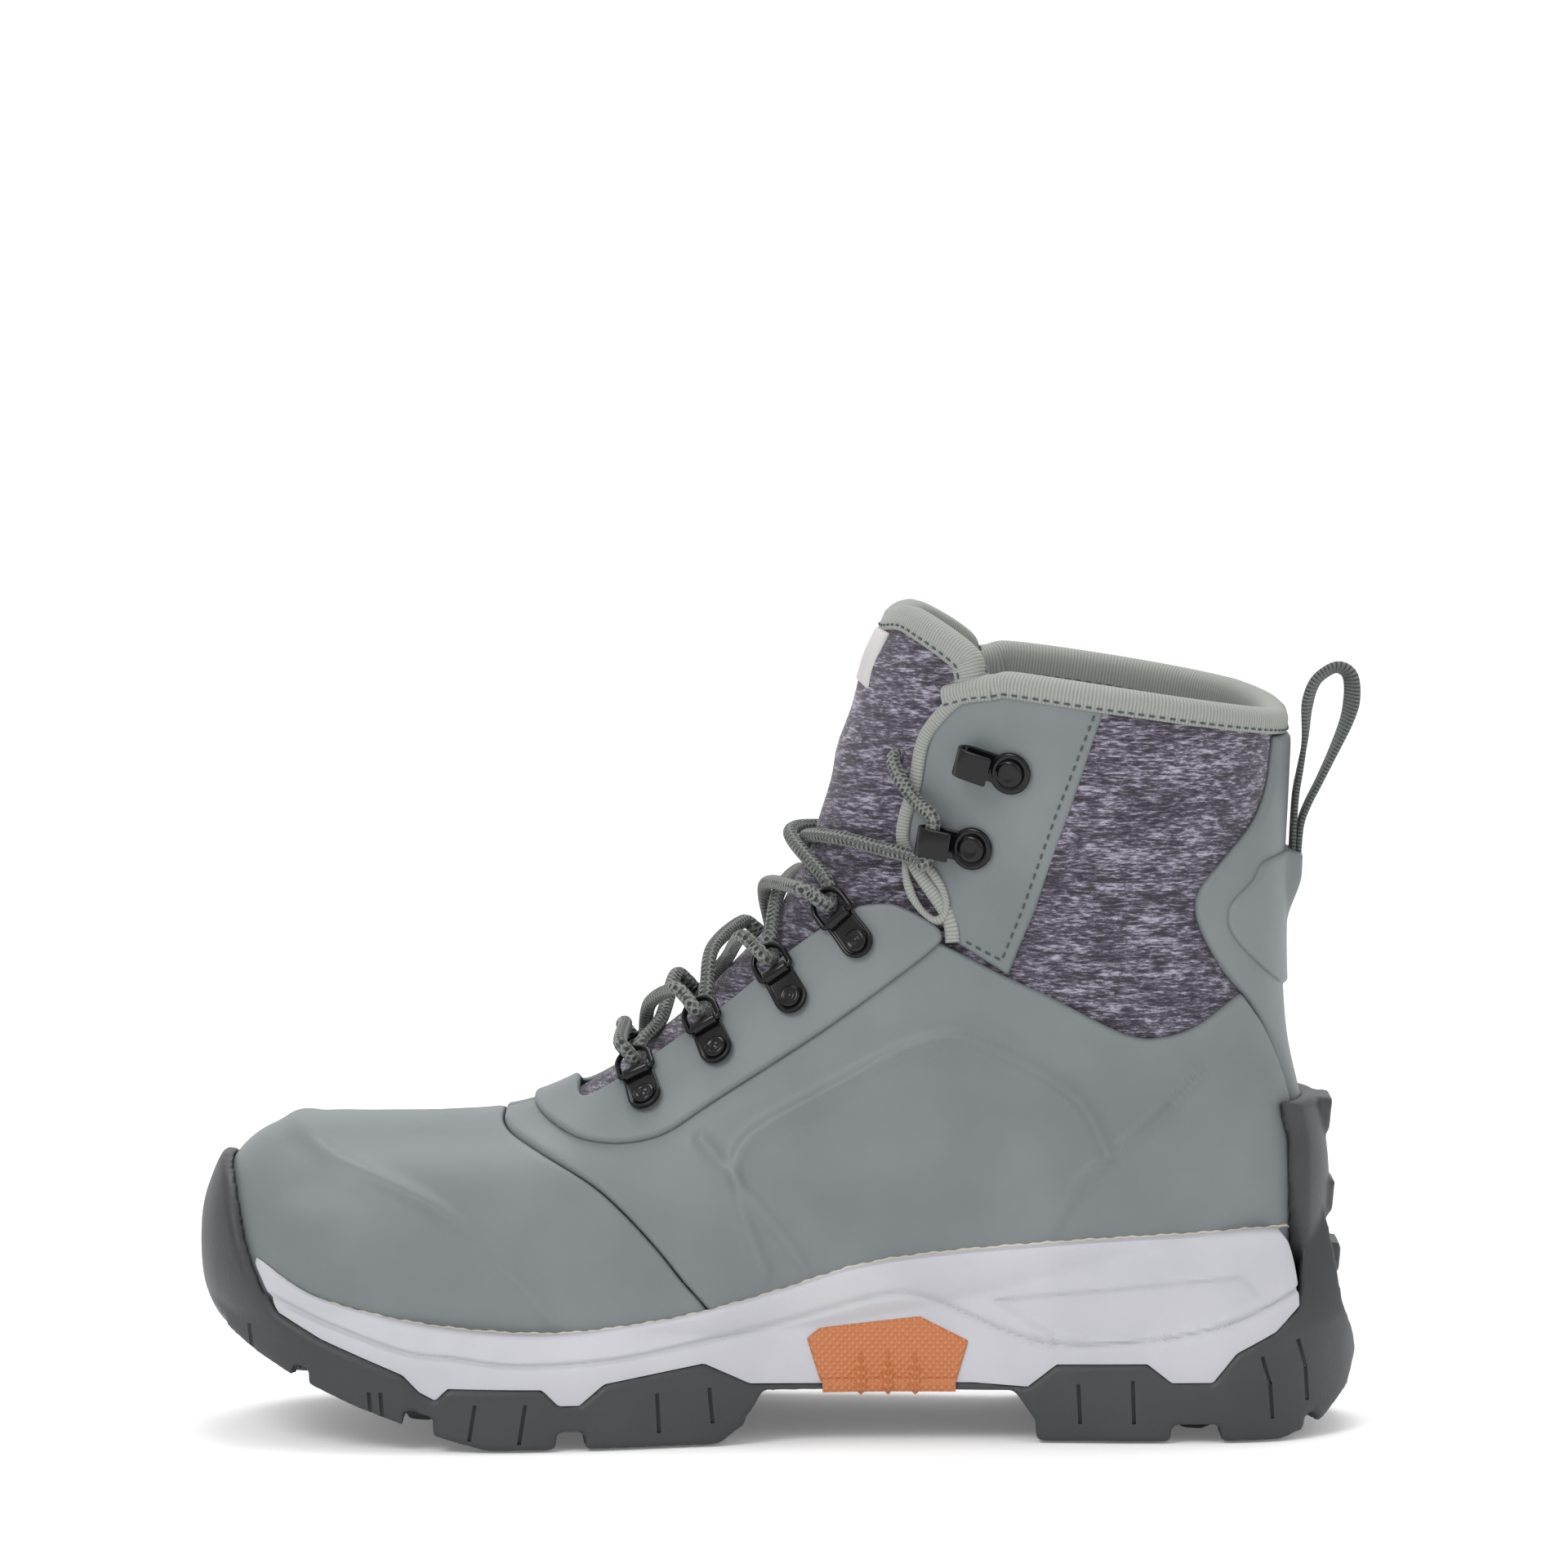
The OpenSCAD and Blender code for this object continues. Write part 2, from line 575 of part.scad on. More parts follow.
module ring_medial_1() ring("medial", 1);
module ring_medial_2() ring("medial", 2);
module ring_medial_3() ring("medial", 3);
module ring_medial_4() ring("medial", 4);
module ring_lateral_1() ring("lateral", 1);
module ring_lateral_2() ring("lateral", 2);
module ring_lateral_3() ring("lateral", 3);
module ring_lateral_4() ring("lateral", 4);

// ---- Lace: its route from the inner tail, through hooks and rings, to the outer tail ----
LACE_ROUTE = [
    [-12, -10, 101], [1, -10.5, 110.5], [13, -11.5, 120.5], [22, -12.5, 130.5], [29, -13.5, 138.5],
    [35, -14.5, 148], [38.5, -15.5, 157], [42, -17, 165], [40.5, -17.5, 174], [34.5, -19.5, 178],
    [29.5, -22, 177.5], [31, -27, 172.5], [35.5, -30.5, 166.5], [39.5, -34, 162.5], [38.5, -32.5, 156.5],
    [37.5, -32.5, 150.5], [35, -30.5, 152], [26, -25, 154], [14.5, -16, 156], [6.5, 0, 154.5],
    [12, 17.5, 145.5], [12.5, 19, 141.5], [13.5, 21.5, 139.5], [12.5, 24, 139], [10.5, 25.5, 140],
    [8, 25.5, 142.5], [4.5, 23.5, 143.5], [-0.5, 0, 140], [-2.5, -12.5, 130], [-2.5, -14, 126],
    [-2, -17, 124], [-3, -19.5, 124.5], [-4.5, -21, 125.5], [-7, -20, 128], [-10.5, -17.5, 130],
    [-14.5, 0, 122], [-19.5, 12, 114.5], [-20, 14.5, 111], [-20, 18, 109.5], [-21.5, 20, 110.5],
    [-23, 21, 112], [-25, 19.5, 114.5], [-28, 16.5, 116], [-31.5, 0, 106.5], [-36.5, -10.5, 101.5],
    [-37, -13, 98], [-37.5, -16.5, 97], [-38.5, -18.5, 98], [-40, -19.5, 100], [-42, -18, 102.5],
    [-41, 0.5, 105], [-42, 20, 102.5], [-40, 21.5, 100], [-38.5, 21, 98], [-37.5, 19, 96.5],
    [-37, 15.5, 97.5], [-36, 13, 100.5], [-34.5, 0, 110.5], [-28, -15, 116], [-25, -18, 114.5],
    [-23, -19.5, 112], [-21.5, -18, 110.5], [-20, -16, 110], [-20, -13, 111.5], [-19.5, -10.5, 115],
    [-18, 0, 125], [-10.5, 19, 130], [-7, 21.5, 128.5], [-4.5, 22, 126], [-3, 21, 124.5], [-2, 18.5, 124],
    [-2.5, 15.5, 125.5], [-2.5, 13.5, 129.5], [-4, 0, 142], [4, -22.5, 143.5], [8, -24.5, 142],
    [10.5, -24.5, 140], [12.5, -23, 139], [13, -20.5, 139], [12.5, -18, 141.5], [11.5, -17, 145.5],
    [2.5, 0, 156], [14.5, 16, 156], [26, 25.5, 154], [35, 31, 152], [37.5, 32.5, 150.5],
    [38.5, 32.5, 156.5], [39.5, 34, 162.5], [35.5, 30.5, 166.5], [31, 27, 172.5], [29.5, 22, 177.5],
    [34.5, 19.5, 178], [40.5, 17.5, 174], [42, 17, 165], [38.5, 15.5, 156.5], [34.5, 15, 148],
    [28.5, 14, 138], [22, 14, 130.5], [13, 13, 120.5], [1, 12.5, 110.5], [-12, 12.5, 100.5]
];
tip_length = 18;
lace_sides = 8;
ring_spacing = 6.5;

function fit(p) = [p[0] * stretch[0], p[1] * stretch[1], p[2] * stretch[2]];
function smooth_path(points) =
    let (n = len(points))
    [
        for (i = [0:n - 2])
            let (steps = max(1, round(norm(points[i + 1] - points[i]) / ring_spacing)))
            for (k = [0:steps - 1])
                spline(points[max(i - 1, 0)], points[i], points[i + 1], points[min(i + 2, n - 1)], k / steps),
        points[n - 1]
    ];
function heading(path, i) = unit(path[min(i + 1, len(path) - 1)] - path[max(i - 1, 0)]);
function level(v, h) = unit(v - (v * h) * h);
// A direction across the path, carried along it without twist.
function across(path) = [
    for (i = 0, v = level([0, 1, 0.3], heading(path, 0)); i < len(path);
        i = i + 1, v = i < len(path) ? level(v, heading(path, i)) : v) v
];

module tube(path, r, sides) {
    n = len(path);
    v = across(path);
    polyhedron(
        points = [for (i = [0:n - 1]) let (w = cross(heading(path, i), v[i])) for (j = [0:sides - 1])
            path[i] + r * (cos(360 * j / sides) * v[i] + sin(360 * j / sides) * w)],
        faces = [
            for (i = [0:n - 2]) for (j = [0:sides - 1])
                let (k = (j + 1) % sides, p = i * sides, q = p + sides)
                each [[p + j, p + k, q + j], [p + k, q + k, q + j]],
            [for (j = [sides - 1:-1:0]) j],
            [for (j = [0:sides - 1]) (n - 1) * sides + j]
        ]);
}

module lace() {
    color([0.49, 0.5, 0.49]) tube([for (p = smooth_path(LACE_ROUTE)) fit(p)], lace_d / 2, lace_sides);
}

module tip(from, to) {
    h = unit(to - from);
    v = level([0, 1, 0.3], h);
    w = cross(h, v);
    multmatrix([[v[0], w[0], h[0], to[0]], [v[1], w[1], h[1], to[1]], [v[2], w[2], h[2], to[2]], [0, 0, 0, 1]])
        cylinder(r = lace_d / 2 - 0.2, h = tip_length, $fn = 32);
}

module lace_tips() {
    last = len(LACE_ROUTE) - 1;
    color([0.15, 0.15, 0.16]) {
        tip(fit(LACE_ROUTE[1]), fit(LACE_ROUTE[0]));
        tip(fit(LACE_ROUTE[last - 1]), fit(LACE_ROUTE[last]));
    }
}

outsole();
midsole();
arch_stabiliser();
shank();
lasting_board();
insole();
bootie();
lining();
toe_puff();
heel_counter();
toe_vamp();
quarter_medial();
quarter_lateral();
eyestay();
flap_medial();
flap_lateral();
flap_binding_medial();
flap_binding_lateral();
heel_stay();
heel_tab();
loop_anchor();
pull_loop();
tongue();
tongue_binding();
tongue_patch();
collar_binding();
ring_straps();
strap_rivets();
ring_medial_1();
ring_medial_2();
ring_medial_3();
ring_medial_4();
ring_lateral_1();
ring_lateral_2();
ring_lateral_3();
ring_lateral_4();
speed_hooks();
hook_rivets();
lace();
lace_tips();
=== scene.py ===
# %% [markdown]
# # A hiking boot
# The boot is a knit sock in a moulded rubber cage, on a foam midsole and a lugged rubber outsole.
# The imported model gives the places, the joints and the hardware. Every panel that shows is built
# again here with finer shape, rounded edges, stitches and its own material.

# %% Load the frame
import math
import json

import bmesh
import bpy
import numpy as np
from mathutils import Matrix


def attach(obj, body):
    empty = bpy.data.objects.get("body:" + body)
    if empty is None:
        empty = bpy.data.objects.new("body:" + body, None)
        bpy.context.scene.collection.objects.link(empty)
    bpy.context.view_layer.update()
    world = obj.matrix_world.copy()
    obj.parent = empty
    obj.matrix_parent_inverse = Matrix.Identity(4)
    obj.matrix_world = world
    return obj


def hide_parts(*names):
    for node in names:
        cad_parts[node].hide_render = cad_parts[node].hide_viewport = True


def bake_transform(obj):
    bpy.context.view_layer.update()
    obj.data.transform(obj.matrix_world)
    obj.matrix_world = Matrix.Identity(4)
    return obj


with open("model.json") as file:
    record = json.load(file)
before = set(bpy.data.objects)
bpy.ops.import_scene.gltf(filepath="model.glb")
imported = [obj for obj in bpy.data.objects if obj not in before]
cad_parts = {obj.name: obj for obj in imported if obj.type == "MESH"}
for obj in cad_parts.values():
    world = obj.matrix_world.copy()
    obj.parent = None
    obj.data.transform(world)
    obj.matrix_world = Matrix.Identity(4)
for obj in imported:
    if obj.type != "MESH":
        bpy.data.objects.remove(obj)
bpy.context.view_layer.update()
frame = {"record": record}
joints = {j["name"]: j for j in frame["record"]["behaviour"]["joints"]}
MM = 0.001


# %% [markdown]
# ## Camera, floor and light
# The boot is seen from its inner side through a long lens, five degrees above level. The camera is
# made first. Big soft lights and a pale floor give the even studio look in which dark rubber and fine
# knit both read well.

# %% Camera
aim = np.array([0.0009, 0.0, 0.1686])
lift_angle = math.radians(5)
camera_distance = 2.2
camera_data = bpy.data.cameras.new("camera")
camera = bpy.data.objects.new("camera", camera_data)
bpy.context.scene.collection.objects.link(camera)
camera.location = aim + camera_distance * np.array([0, -math.cos(lift_angle), math.sin(lift_angle)])
camera.rotation_euler = (math.pi / 2 - lift_angle, 0, 0)
camera_data.sensor_width = 36
camera_data.lens = 36 * camera_distance / 0.4128
camera_data.clip_end = 20
bpy.context.scene.camera = camera
print("lens", round(camera_data.lens, 1), "mm")


# %% Floor and lights
def soft_light(name, place, size, power):
    data = bpy.data.lights.new(name, "AREA")
    data.shape = "DISK"
    data.size = size
    data.energy = power
    lamp = bpy.data.objects.new(name, data)
    lamp.location = place
    bpy.context.scene.collection.objects.link(lamp)
    return lamp


def aim_light(lamp, target):
    direction = np.array(target) - np.array(lamp.location)
    direction = direction / np.linalg.norm(direction)
    yaw = math.atan2(direction[1], direction[0])
    lamp.rotation_euler = (math.acos(-direction[2]), 0, yaw + math.pi / 2 + math.pi)


arc = np.radians(np.linspace(0, 90, 16))
side_line = [(-4, 0)] + [(1.6 + math.sin(w), 1 - math.cos(w)) for w in arc] + [(2.6, 4)]
mesh = bpy.data.meshes.new("backdrop")
mesh.from_pydata([(x, y, z - 0.0005) for y, z in side_line for x in (-5, 5)], [],
                 [(2 * i, 2 * i + 1, 2 * i + 3, 2 * i + 2) for i in range(len(side_line) - 1)])
mesh.polygons.foreach_set("use_smooth", [True] * len(mesh.polygons))
floor = bpy.data.objects.new("backdrop", mesh)
bpy.context.scene.collection.objects.link(floor)
paper = bpy.data.materials.new("backdrop paper")
paper.use_nodes = True
paper.node_tree.nodes["Principled BSDF"].inputs["Base Color"].default_value = (0.93, 0.93, 0.93, 1)
paper.node_tree.nodes["Principled BSDF"].inputs["Roughness"].default_value = 0.9
paper.node_tree.nodes["Principled BSDF"].inputs["Emission Color"].default_value = (1, 1, 1, 1)
paper.node_tree.nodes["Principled BSDF"].inputs["Emission Strength"].default_value = 0.12
mesh.materials.append(paper)
for name, place, size, power in (
    ("key", (-0.8, -1.3, 1.5), 0.9, 14),
    ("fill", (1.2, -1.1, 0.9), 1.2, 3),
    ("top", (0.1, 0.5, 1.9), 1.2, 16),
):
    aim_light(soft_light(name, place, size, power), (0, 0, 0.1))
world = bpy.data.worlds.new("studio") if not bpy.context.scene.world else bpy.context.scene.world
bpy.context.scene.world = world
world.use_nodes = True
world.node_tree.nodes["Background"].inputs["Color"].default_value = (1, 1, 1, 1)
world.node_tree.nodes["Background"].inputs["Strength"].default_value = 0.8
bpy.context.scene.view_settings.view_transform = "Standard"
print("floor and three soft lights")


# %% [markdown]
# ## The last
# A boot is built on a last, a solid foot shape. Here it is a bent tube through cross-sections that
# run from the toe, over the ball and the heel, up to the collar. Every panel of the upper is a layer
# of this one surface, so panels nest without gaps. One smooth formula does this better than edited
# primitives could, because each layer has to follow the layer below it everywhere.

# %% Sections of the last
# Front x, z; rear x, z; inner and outer half width; middle y; widest place; roundness front, rear.
STATIONS = np.array([
    [-147, 56, -147, 44, 7, 7, -6, 0.5, 2, 2],
    [-145.5, 62, -146, 38, 15, 14, -5.5, 0.5, 2.2, 2.2],
    [-141.5, 70.5, -142.5, 32, 25, 23.5, -4.5, 0.45, 2.4, 2.6],
    [-134, 76.5, -136, 28, 34, 33, -3.5, 0.42, 2.4, 3],
    [-122, 79.5, -123, 25, 40.5, 41, -2, 0.4, 2.4, 3.2],
    [-106, 79.5, -105, 22.5, 44.5, 46.5, -1, 0.38, 2.4, 3.4],
    [-88, 79.7, -84, 21, 46.5, 49.5, 0, 0.36, 2.3, 3.6],
    [-70, 81.5, -60, 20, 46, 51, 0, 0.34, 2.2, 3.6],
    [-52, 88.5, -33, 20.5, 43, 50, 0, 0.32, 2, 3.6],
    [-34, 101, -3, 23, 40, 46, 0, 0.3, 1.9, 3.4],
    [-16.5, 116.5, 30, 27, 37.5, 42, 0, 0.3, 1.9, 3.2],
    [-1.5, 133, 65, 30, 36.5, 39.5, 0, 0.3, 1.9, 3],
    [6.5, 148, 98, 32, 36, 38, 0, 0.32, 2, 2.8],
    [11, 160, 122, 35, 36, 37, 0, 0.34, 2, 2.6],
    [13.5, 169.5, 134, 46, 36, 36.5, 0, 0.36, 2, 2.5],
    [15.3, 177.5, 137.5, 62, 36, 36, 0, 0.38, 2, 2.4],
    [17.6, 184.5, 136, 80, 36.5, 36.5, 0, 0.4, 2, 2.3],
    [19.4, 190.5, 131, 103, 37, 37, 0, 0.42, 2, 2.3],
    [21.2, 196.5, 129.5, 125, 38.5, 38.5, 0, 0.44, 2, 2.3],
    [23.2, 203, 130, 147, 40.5, 40.5, 0, 0.46, 2, 2.3],
    [26.5, 210, 131, 168, 42, 42, 0, 0.48, 2, 2.3],
    [34, 227, 132.5, 200, 43, 43, 0, 0.5, 2, 2.3],
], dtype=float)
LAST_STATION = len(STATIONS) - 1


def spline(a, b, c, d, t):
    return 0.5 * (2 * b + (c - a) * t + (2 * a - 5 * b + 4 * c - d) * t**2 + (3 * b - a - 3 * c + d) * t**3)


def last_points(u, a):
    """Points in millimetres: u runs from toe to collar, a turns (degrees) from the front over the inner side."""
    u, a = np.broadcast_arrays(np.asarray(u, float), np.asarray(a, float))
    i = np.clip(np.floor(u), 0, LAST_STATION - 1).astype(int)
    s = spline(STATIONS[np.maximum(i - 1, 0)], STATIONS[i], STATIONS[i + 1],
               STATIONS[np.minimum(i + 2, LAST_STATION)], (u - i)[..., None])
    turn = np.mod(a, 360)
    c = np.cos(np.radians(turn))
    across = np.abs(np.sin(np.radians(turn)))
    power = 2 / np.where(c >= 0, s[..., 8], s[..., 9])
    widest = s[..., 7]
    rise = np.where(c >= 0, widest + (1 - widest) * np.abs(c) ** power, widest * (1 - np.abs(c) ** power))
    width = np.where(turn < 180, -s[..., 4], s[..., 5])
    x = s[..., 2] + rise * (s[..., 0] - s[..., 2])
    z = s[..., 3] + rise * (s[..., 1] - s[..., 3])
    return np.stack([x, s[..., 6] + width * across**power, z], -1)


def unit(v):
    return v / np.maximum(np.linalg.norm(v, axis=-1, keepdims=True), 1e-12)


def outward(u, a):
    u = np.asarray(u, float)
    along = last_points(np.minimum(u + 0.02, LAST_STATION), a) - last_points(np.maximum(u - 0.02, 0), a)
    around = last_points(u, np.asarray(a) + 2) - last_points(u, np.asarray(a) - 2)
    return unit(np.cross(around, along))


def on_last(u, a, t):
    return last_points(u, a) + np.asarray(t)[..., None] * outward(u, a)


# %% [markdown]
# The grid of the last is spaced evenly in millimetres, so that every panel has small, square faces.
# Round each section the spacing follows the widest part of the foot.

# %% An even grid on the last
def even_steps(values, lengths, step):
    total = np.concatenate([[0], np.cumsum(lengths)])
    return np.interp(np.linspace(0, total[-1], max(int(total[-1] / step), 4)), total, values)


def last_grid(step):
    u = np.linspace(0, LAST_STATION, 600)
    gaps = [np.linalg.norm(np.diff(last_points(u, turn), axis=0), axis=1) for turn in (0, 30, 60, 90, 120, 150, 180)]
    rows = even_steps(u, np.max(gaps, axis=0), step)
    a = np.linspace(0, 360, 721)
    girth = np.mean([np.linalg.norm(np.diff(last_points(k, a), axis=0), axis=1) for k in (6, 8, 12, 18)], axis=0)
    turns = even_steps(a, girth, step)[:-1]
    return rows, turns


GRIDS = {step: last_grid(step) for step in (0.8, 1.15, 2.2)}
path_u = np.linspace(0, LAST_STATION, 400)
path_mm = np.concatenate([[0], np.cumsum(np.linalg.norm(np.diff(last_points(path_u, 90), axis=0), axis=1))])
print("rows and turns", {k: (len(v[0]), len(v[1])) for k, v in GRIDS.items()})


# %% [markdown]
# ## Outlines
# A panel's edge is drawn in the side view, as a pattern cutter draws it. Distances to these lines
# place the rims, the embossed ridges and the stitches.

# %% Outlines in the side view, x and z in millimetres
def curve(points, steps=6):
    p = np.array(points, float)
    out = []
    for i in range(len(p) - 1):
        for k in range(steps):
            out.append(spline(p[max(i - 1, 0)], p[i], p[i + 1], p[min(i + 2, len(p) - 1)], k / steps))
    out.append(p[-1])
    return np.array(out)


VAMP_SEAM = curve([[-61, 100], [-66, 90], [-72.5, 84], [-71.5, 80.5], [-63.4, 75.9], [-49.9, 68.3], [-40.9, 60.8],
                   [-31.8, 51], [-25.4, 42.8], [-18.9, 34.9], [-8, 18]])
TONGUE_EDGE = np.array([[-61, 92], [-56, 86], [-50, 86], [-41, 90.5], [-27, 100.5], [-13, 110.5], [3, 123.5],
                        [20, 135.5], [31, 143], [36.5, 153], [38, 170], [46, 193], [51, 197]], float)
THROAT_EDGE = curve([[-53, 100], [-53.5, 93], [-51.8, 88.9], [-41.9, 93.9], [-28.4, 103.2], [-15.3, 112.5],
                     [1.5, 126.5], [14, 135.6], [20.6, 139.2]])
EYESTAY_EDGE = curve([[20.6, 139.2], [27.7, 139.9], [33.1, 138.3], [39.5, 134.8], [41.6, 132.2], [40.3, 129.2],
                      [31, 121.7], [9.5, 106.1], [-18.5, 88.3], [-29.2, 81.4], [-37.8, 78.8], [-46.4, 78.5],
                      [-55, 80.5], [-64.7, 86.4], [-67.5, 92], [-66, 100]])
KNIT_EDGE = curve([[41.7, 130], [60, 121], [69.9, 116.6], [84.7, 109], [92.7, 106], [99.5, 106], [108.4, 108.8],
                   [120.8, 116.6]])
STAY_EDGE = curve([[129.6, 182.7], [128.1, 170.9], [124.3, 161.4], [116.3, 152.2], [109.4, 144.4], [108.1, 138.4],
                   [110.5, 131.4], [115.5, 123.1], [120.8, 116.6]])
HEEL_SEAM = curve([[120.8, 116.6], [124.3, 111.8], [128.1, 105.4], [133.1, 92.5], [136.3, 77.3], [137, 72]])
TAB_EDGE = curve([[134, 152.3], [126.8, 150.4], [123.8, 146], [118.4, 141], [116.7, 137], [118, 132], [124, 125],
                  [134, 116]])
FLAP_FRONT = curve([[54.6, 197], [49, 196.4], [43.9, 194], [36.3, 184.1], [33.5, 170.9], [31, 162.2],
                    [30.5, 155.7], [33.1, 149.4], [41.7, 136.8], [43.2, 129.8]])
FLAP_REAR = np.array([[58.9, 121.6], [65.8, 138.4], [74.5, 164], [83.2, 190]], float)
COLLAR_LINE = curve([[55, 200.2], [57, 200.8], [61, 200.7], [74, 198.9], [95.5, 195.6], [117, 192.1],
                     [134, 189]])
TONGUE_TOP = curve([[53, 200.5], [51.4, 206], [47.1, 210.3], [39.6, 215.3], [34.2, 218], [29.9, 217], [24, 214]])
SOLE_EDGE = curve([[-138.9, 49.8], [-130.3, 43.3], [-119.5, 38.3], [-98, 33.1], [-76.5, 30.3], [-55, 29.7],
                   [-33.5, 32.1], [-18.5, 35.1], [0.9, 40.5], [20.2, 46.5], [41.7, 49.8], [74, 52.4],
                   [106.2, 54.1], [129, 54.7], [134, 53], [136.4, 47]])
SOLE_FLOOR = np.array([[136.4, 34.8], [129.9, 28.4], [119, 23], [112.7, 15.4], [101.9, 15.4], [95.5, 20.4],
                       [71.8, 20.2], [64.3, 14.3], [50.3, 15.4], [9.5, 15.4], [-7.7, 15.8], [-19.6, 21.4],
                       [-45.4, 16.9], [-51.8, 11.5], [-57.2, 11.5], [-61.5, 15.8], [-86.2, 16.3], [-89.4, 13.2],
                       [-93.7, 15.4], [-98, 19.7], [-119.5, 28.4], [-131.4, 34.8], [-138.9, 47.5]], float)
TREAD = np.array([[152.4, 21], [149.5, 11], [142.5, 4], [131, 0], [67, 0], [61, 13.4], [-4.5, 14.5], [-8, 6],
                  [-16, 0], [-76, 0], [-92, 4.5], [-110, 11], [-126, 18], [-137, 24], [-144.5, 29],
                  [-149.5, 34], [-152.4, 42]], float)
HEEL_BACK = np.array([[136.6, 48], [145.5, 47.7], [147.8, 36], [151, 27]], float)
SOLE_PLAN = np.array([[-152.4, -8], [-146, -30], [-128, -46], [-100, -53.5], [-72, -55], [-45, -51], [-15, -44],
                      [20, -38.5], [60, -38.5], [100, -40], [130, -36], [147, -20], [152.6, 0], [147, 20],
                      [130, 37], [100, 42], [60, 43], [20, 47], [-15, 51.5], [-45, 54.5], [-72, 55],
                      [-103, 50.5], [-128, 40], [-144, 24], [-151, 7]], float)


# %% Distances to an outline
def line_distance(points, line):
    """Distance of each 2D point to an open line of points."""
    best = np.full(len(points), 1e9)
    for a, b in zip(line[:-1], line[1:]):
        span = b - a
        t = np.clip(((points - a) @ span) / max(span @ span, 1e-9), 0, 1)
        best = np.minimum(best, np.linalg.norm(points - a - t[:, None] * span, axis=1))
    return best


def depth_inside(points, outline):
    """Distance to a closed outline, positive inside it and negative outside."""
    closed = np.vstack([outline, outline[:1]])
    inside = np.zeros(len(points), bool)
    x, z = points[:, 0], points[:, 1]
    for a, b in zip(closed[:-1], closed[1:]):
        crosses = (a[1] > z) != (b[1] > z)
        at = a[0] + (z - a[1]) * (b[0] - a[0]) / (b[1] - a[1] if b[1] != a[1] else 1e-9)
        inside ^= crosses & (x < at)
    return np.where(inside, 1, -1) * line_distance(points, closed)


# %% [markdown]
# ## Panels
# A panel keeps the grid faces inside its outline. Its border points slide along the last until they
# lie on the outline, so the edge is clean, and the next row sits just inside it to carry a rounded
# rim. The panel is a closed skin: a shaped outer face, a plain inner face, and one shared border.

# %% Panel builder
def piece_name(name):
    return name.replace(" ", "_") + "_piece"


def new_object(name, vertices, faces, uv=None, smooth=True):
    name = piece_name(name)
    mesh = bpy.data.meshes.new(name)
    mesh.from_pydata([tuple(v) for v in np.asarray(vertices) * MM], [], [tuple(int(i) for i in f) for f in faces])
    if uv is not None:
        layer = mesh.uv_layers.new(name="cloth")
        loops = np.empty(len(mesh.loops), int)
        mesh.loops.foreach_get("vertex_index", loops)
        layer.data.foreach_set("uv", (np.asarray(uv)[loops] * MM).astype(np.float32).ravel())
    mesh.polygons.foreach_set("use_smooth", [smooth] * len(mesh.polygons))
    mesh.update()
    piece = bpy.data.objects.new(name, mesh)
    bpy.context.scene.collection.objects.link(piece)
    return piece


def rounded(depth, radius):
    s = np.clip(depth / radius, 0, 1)
    return np.sqrt(np.maximum(1 - (1 - s) ** 2, 0))


def contour(level, faces, u, a, d, depth_at):
    """Cuts faces along the line of one depth, with a new corner wherever an edge crosses it."""
    up = (d > level).tolist()
    edges = sorted({(min(p, q), max(p, q)) for face in faces for p, q in zip(face, face[1:] + face[:1])
                    if up[p] != up[q]})
    i, j = np.array(edges, int).reshape(-1, 2).T
    du, da = u[j] - u[i], (a[j] - a[i] + 180) % 360 - 180
    near, far = np.zeros(len(i)), np.ones(len(i))
    rising = d[j] > level
    for _ in range(9):
        middle = (near + far) / 2
        passed = (depth_at(u[i] + middle * du, a[i] + middle * da) > level) == rising
        near, far = np.where(passed, near, middle), np.where(passed, middle, far)
    number = {edge: len(u) + k for k, edge in enumerate(edges)}
    u, a = np.append(u, u[i] + far * du), np.append(a, a[i] + far * da)
    d = np.append(d, np.full(len(i), float(level)))
    cut = []
    for face in faces:
        high, low, crossings = [], [], 0
        for p, q in zip(face, face[1:] + face[:1]):
            (high if up[p] else low).append(p)
            if up[p] != up[q]:
                corner = number[min(p, q), max(p, q)]
                high.append(corner)
                low.append(corner)
                crossings += 1
        if crossings > 2:
            ring = [k for k, p in enumerate(low) if p < len(up) and not up[p]]
            cut += [[low[k - 1], low[k], low[(k + 1) % len(low)]] for k in ring]
            low = []
        cut += [part for part in (high, low) if len(part) > 2]
    return cut, u, a, d


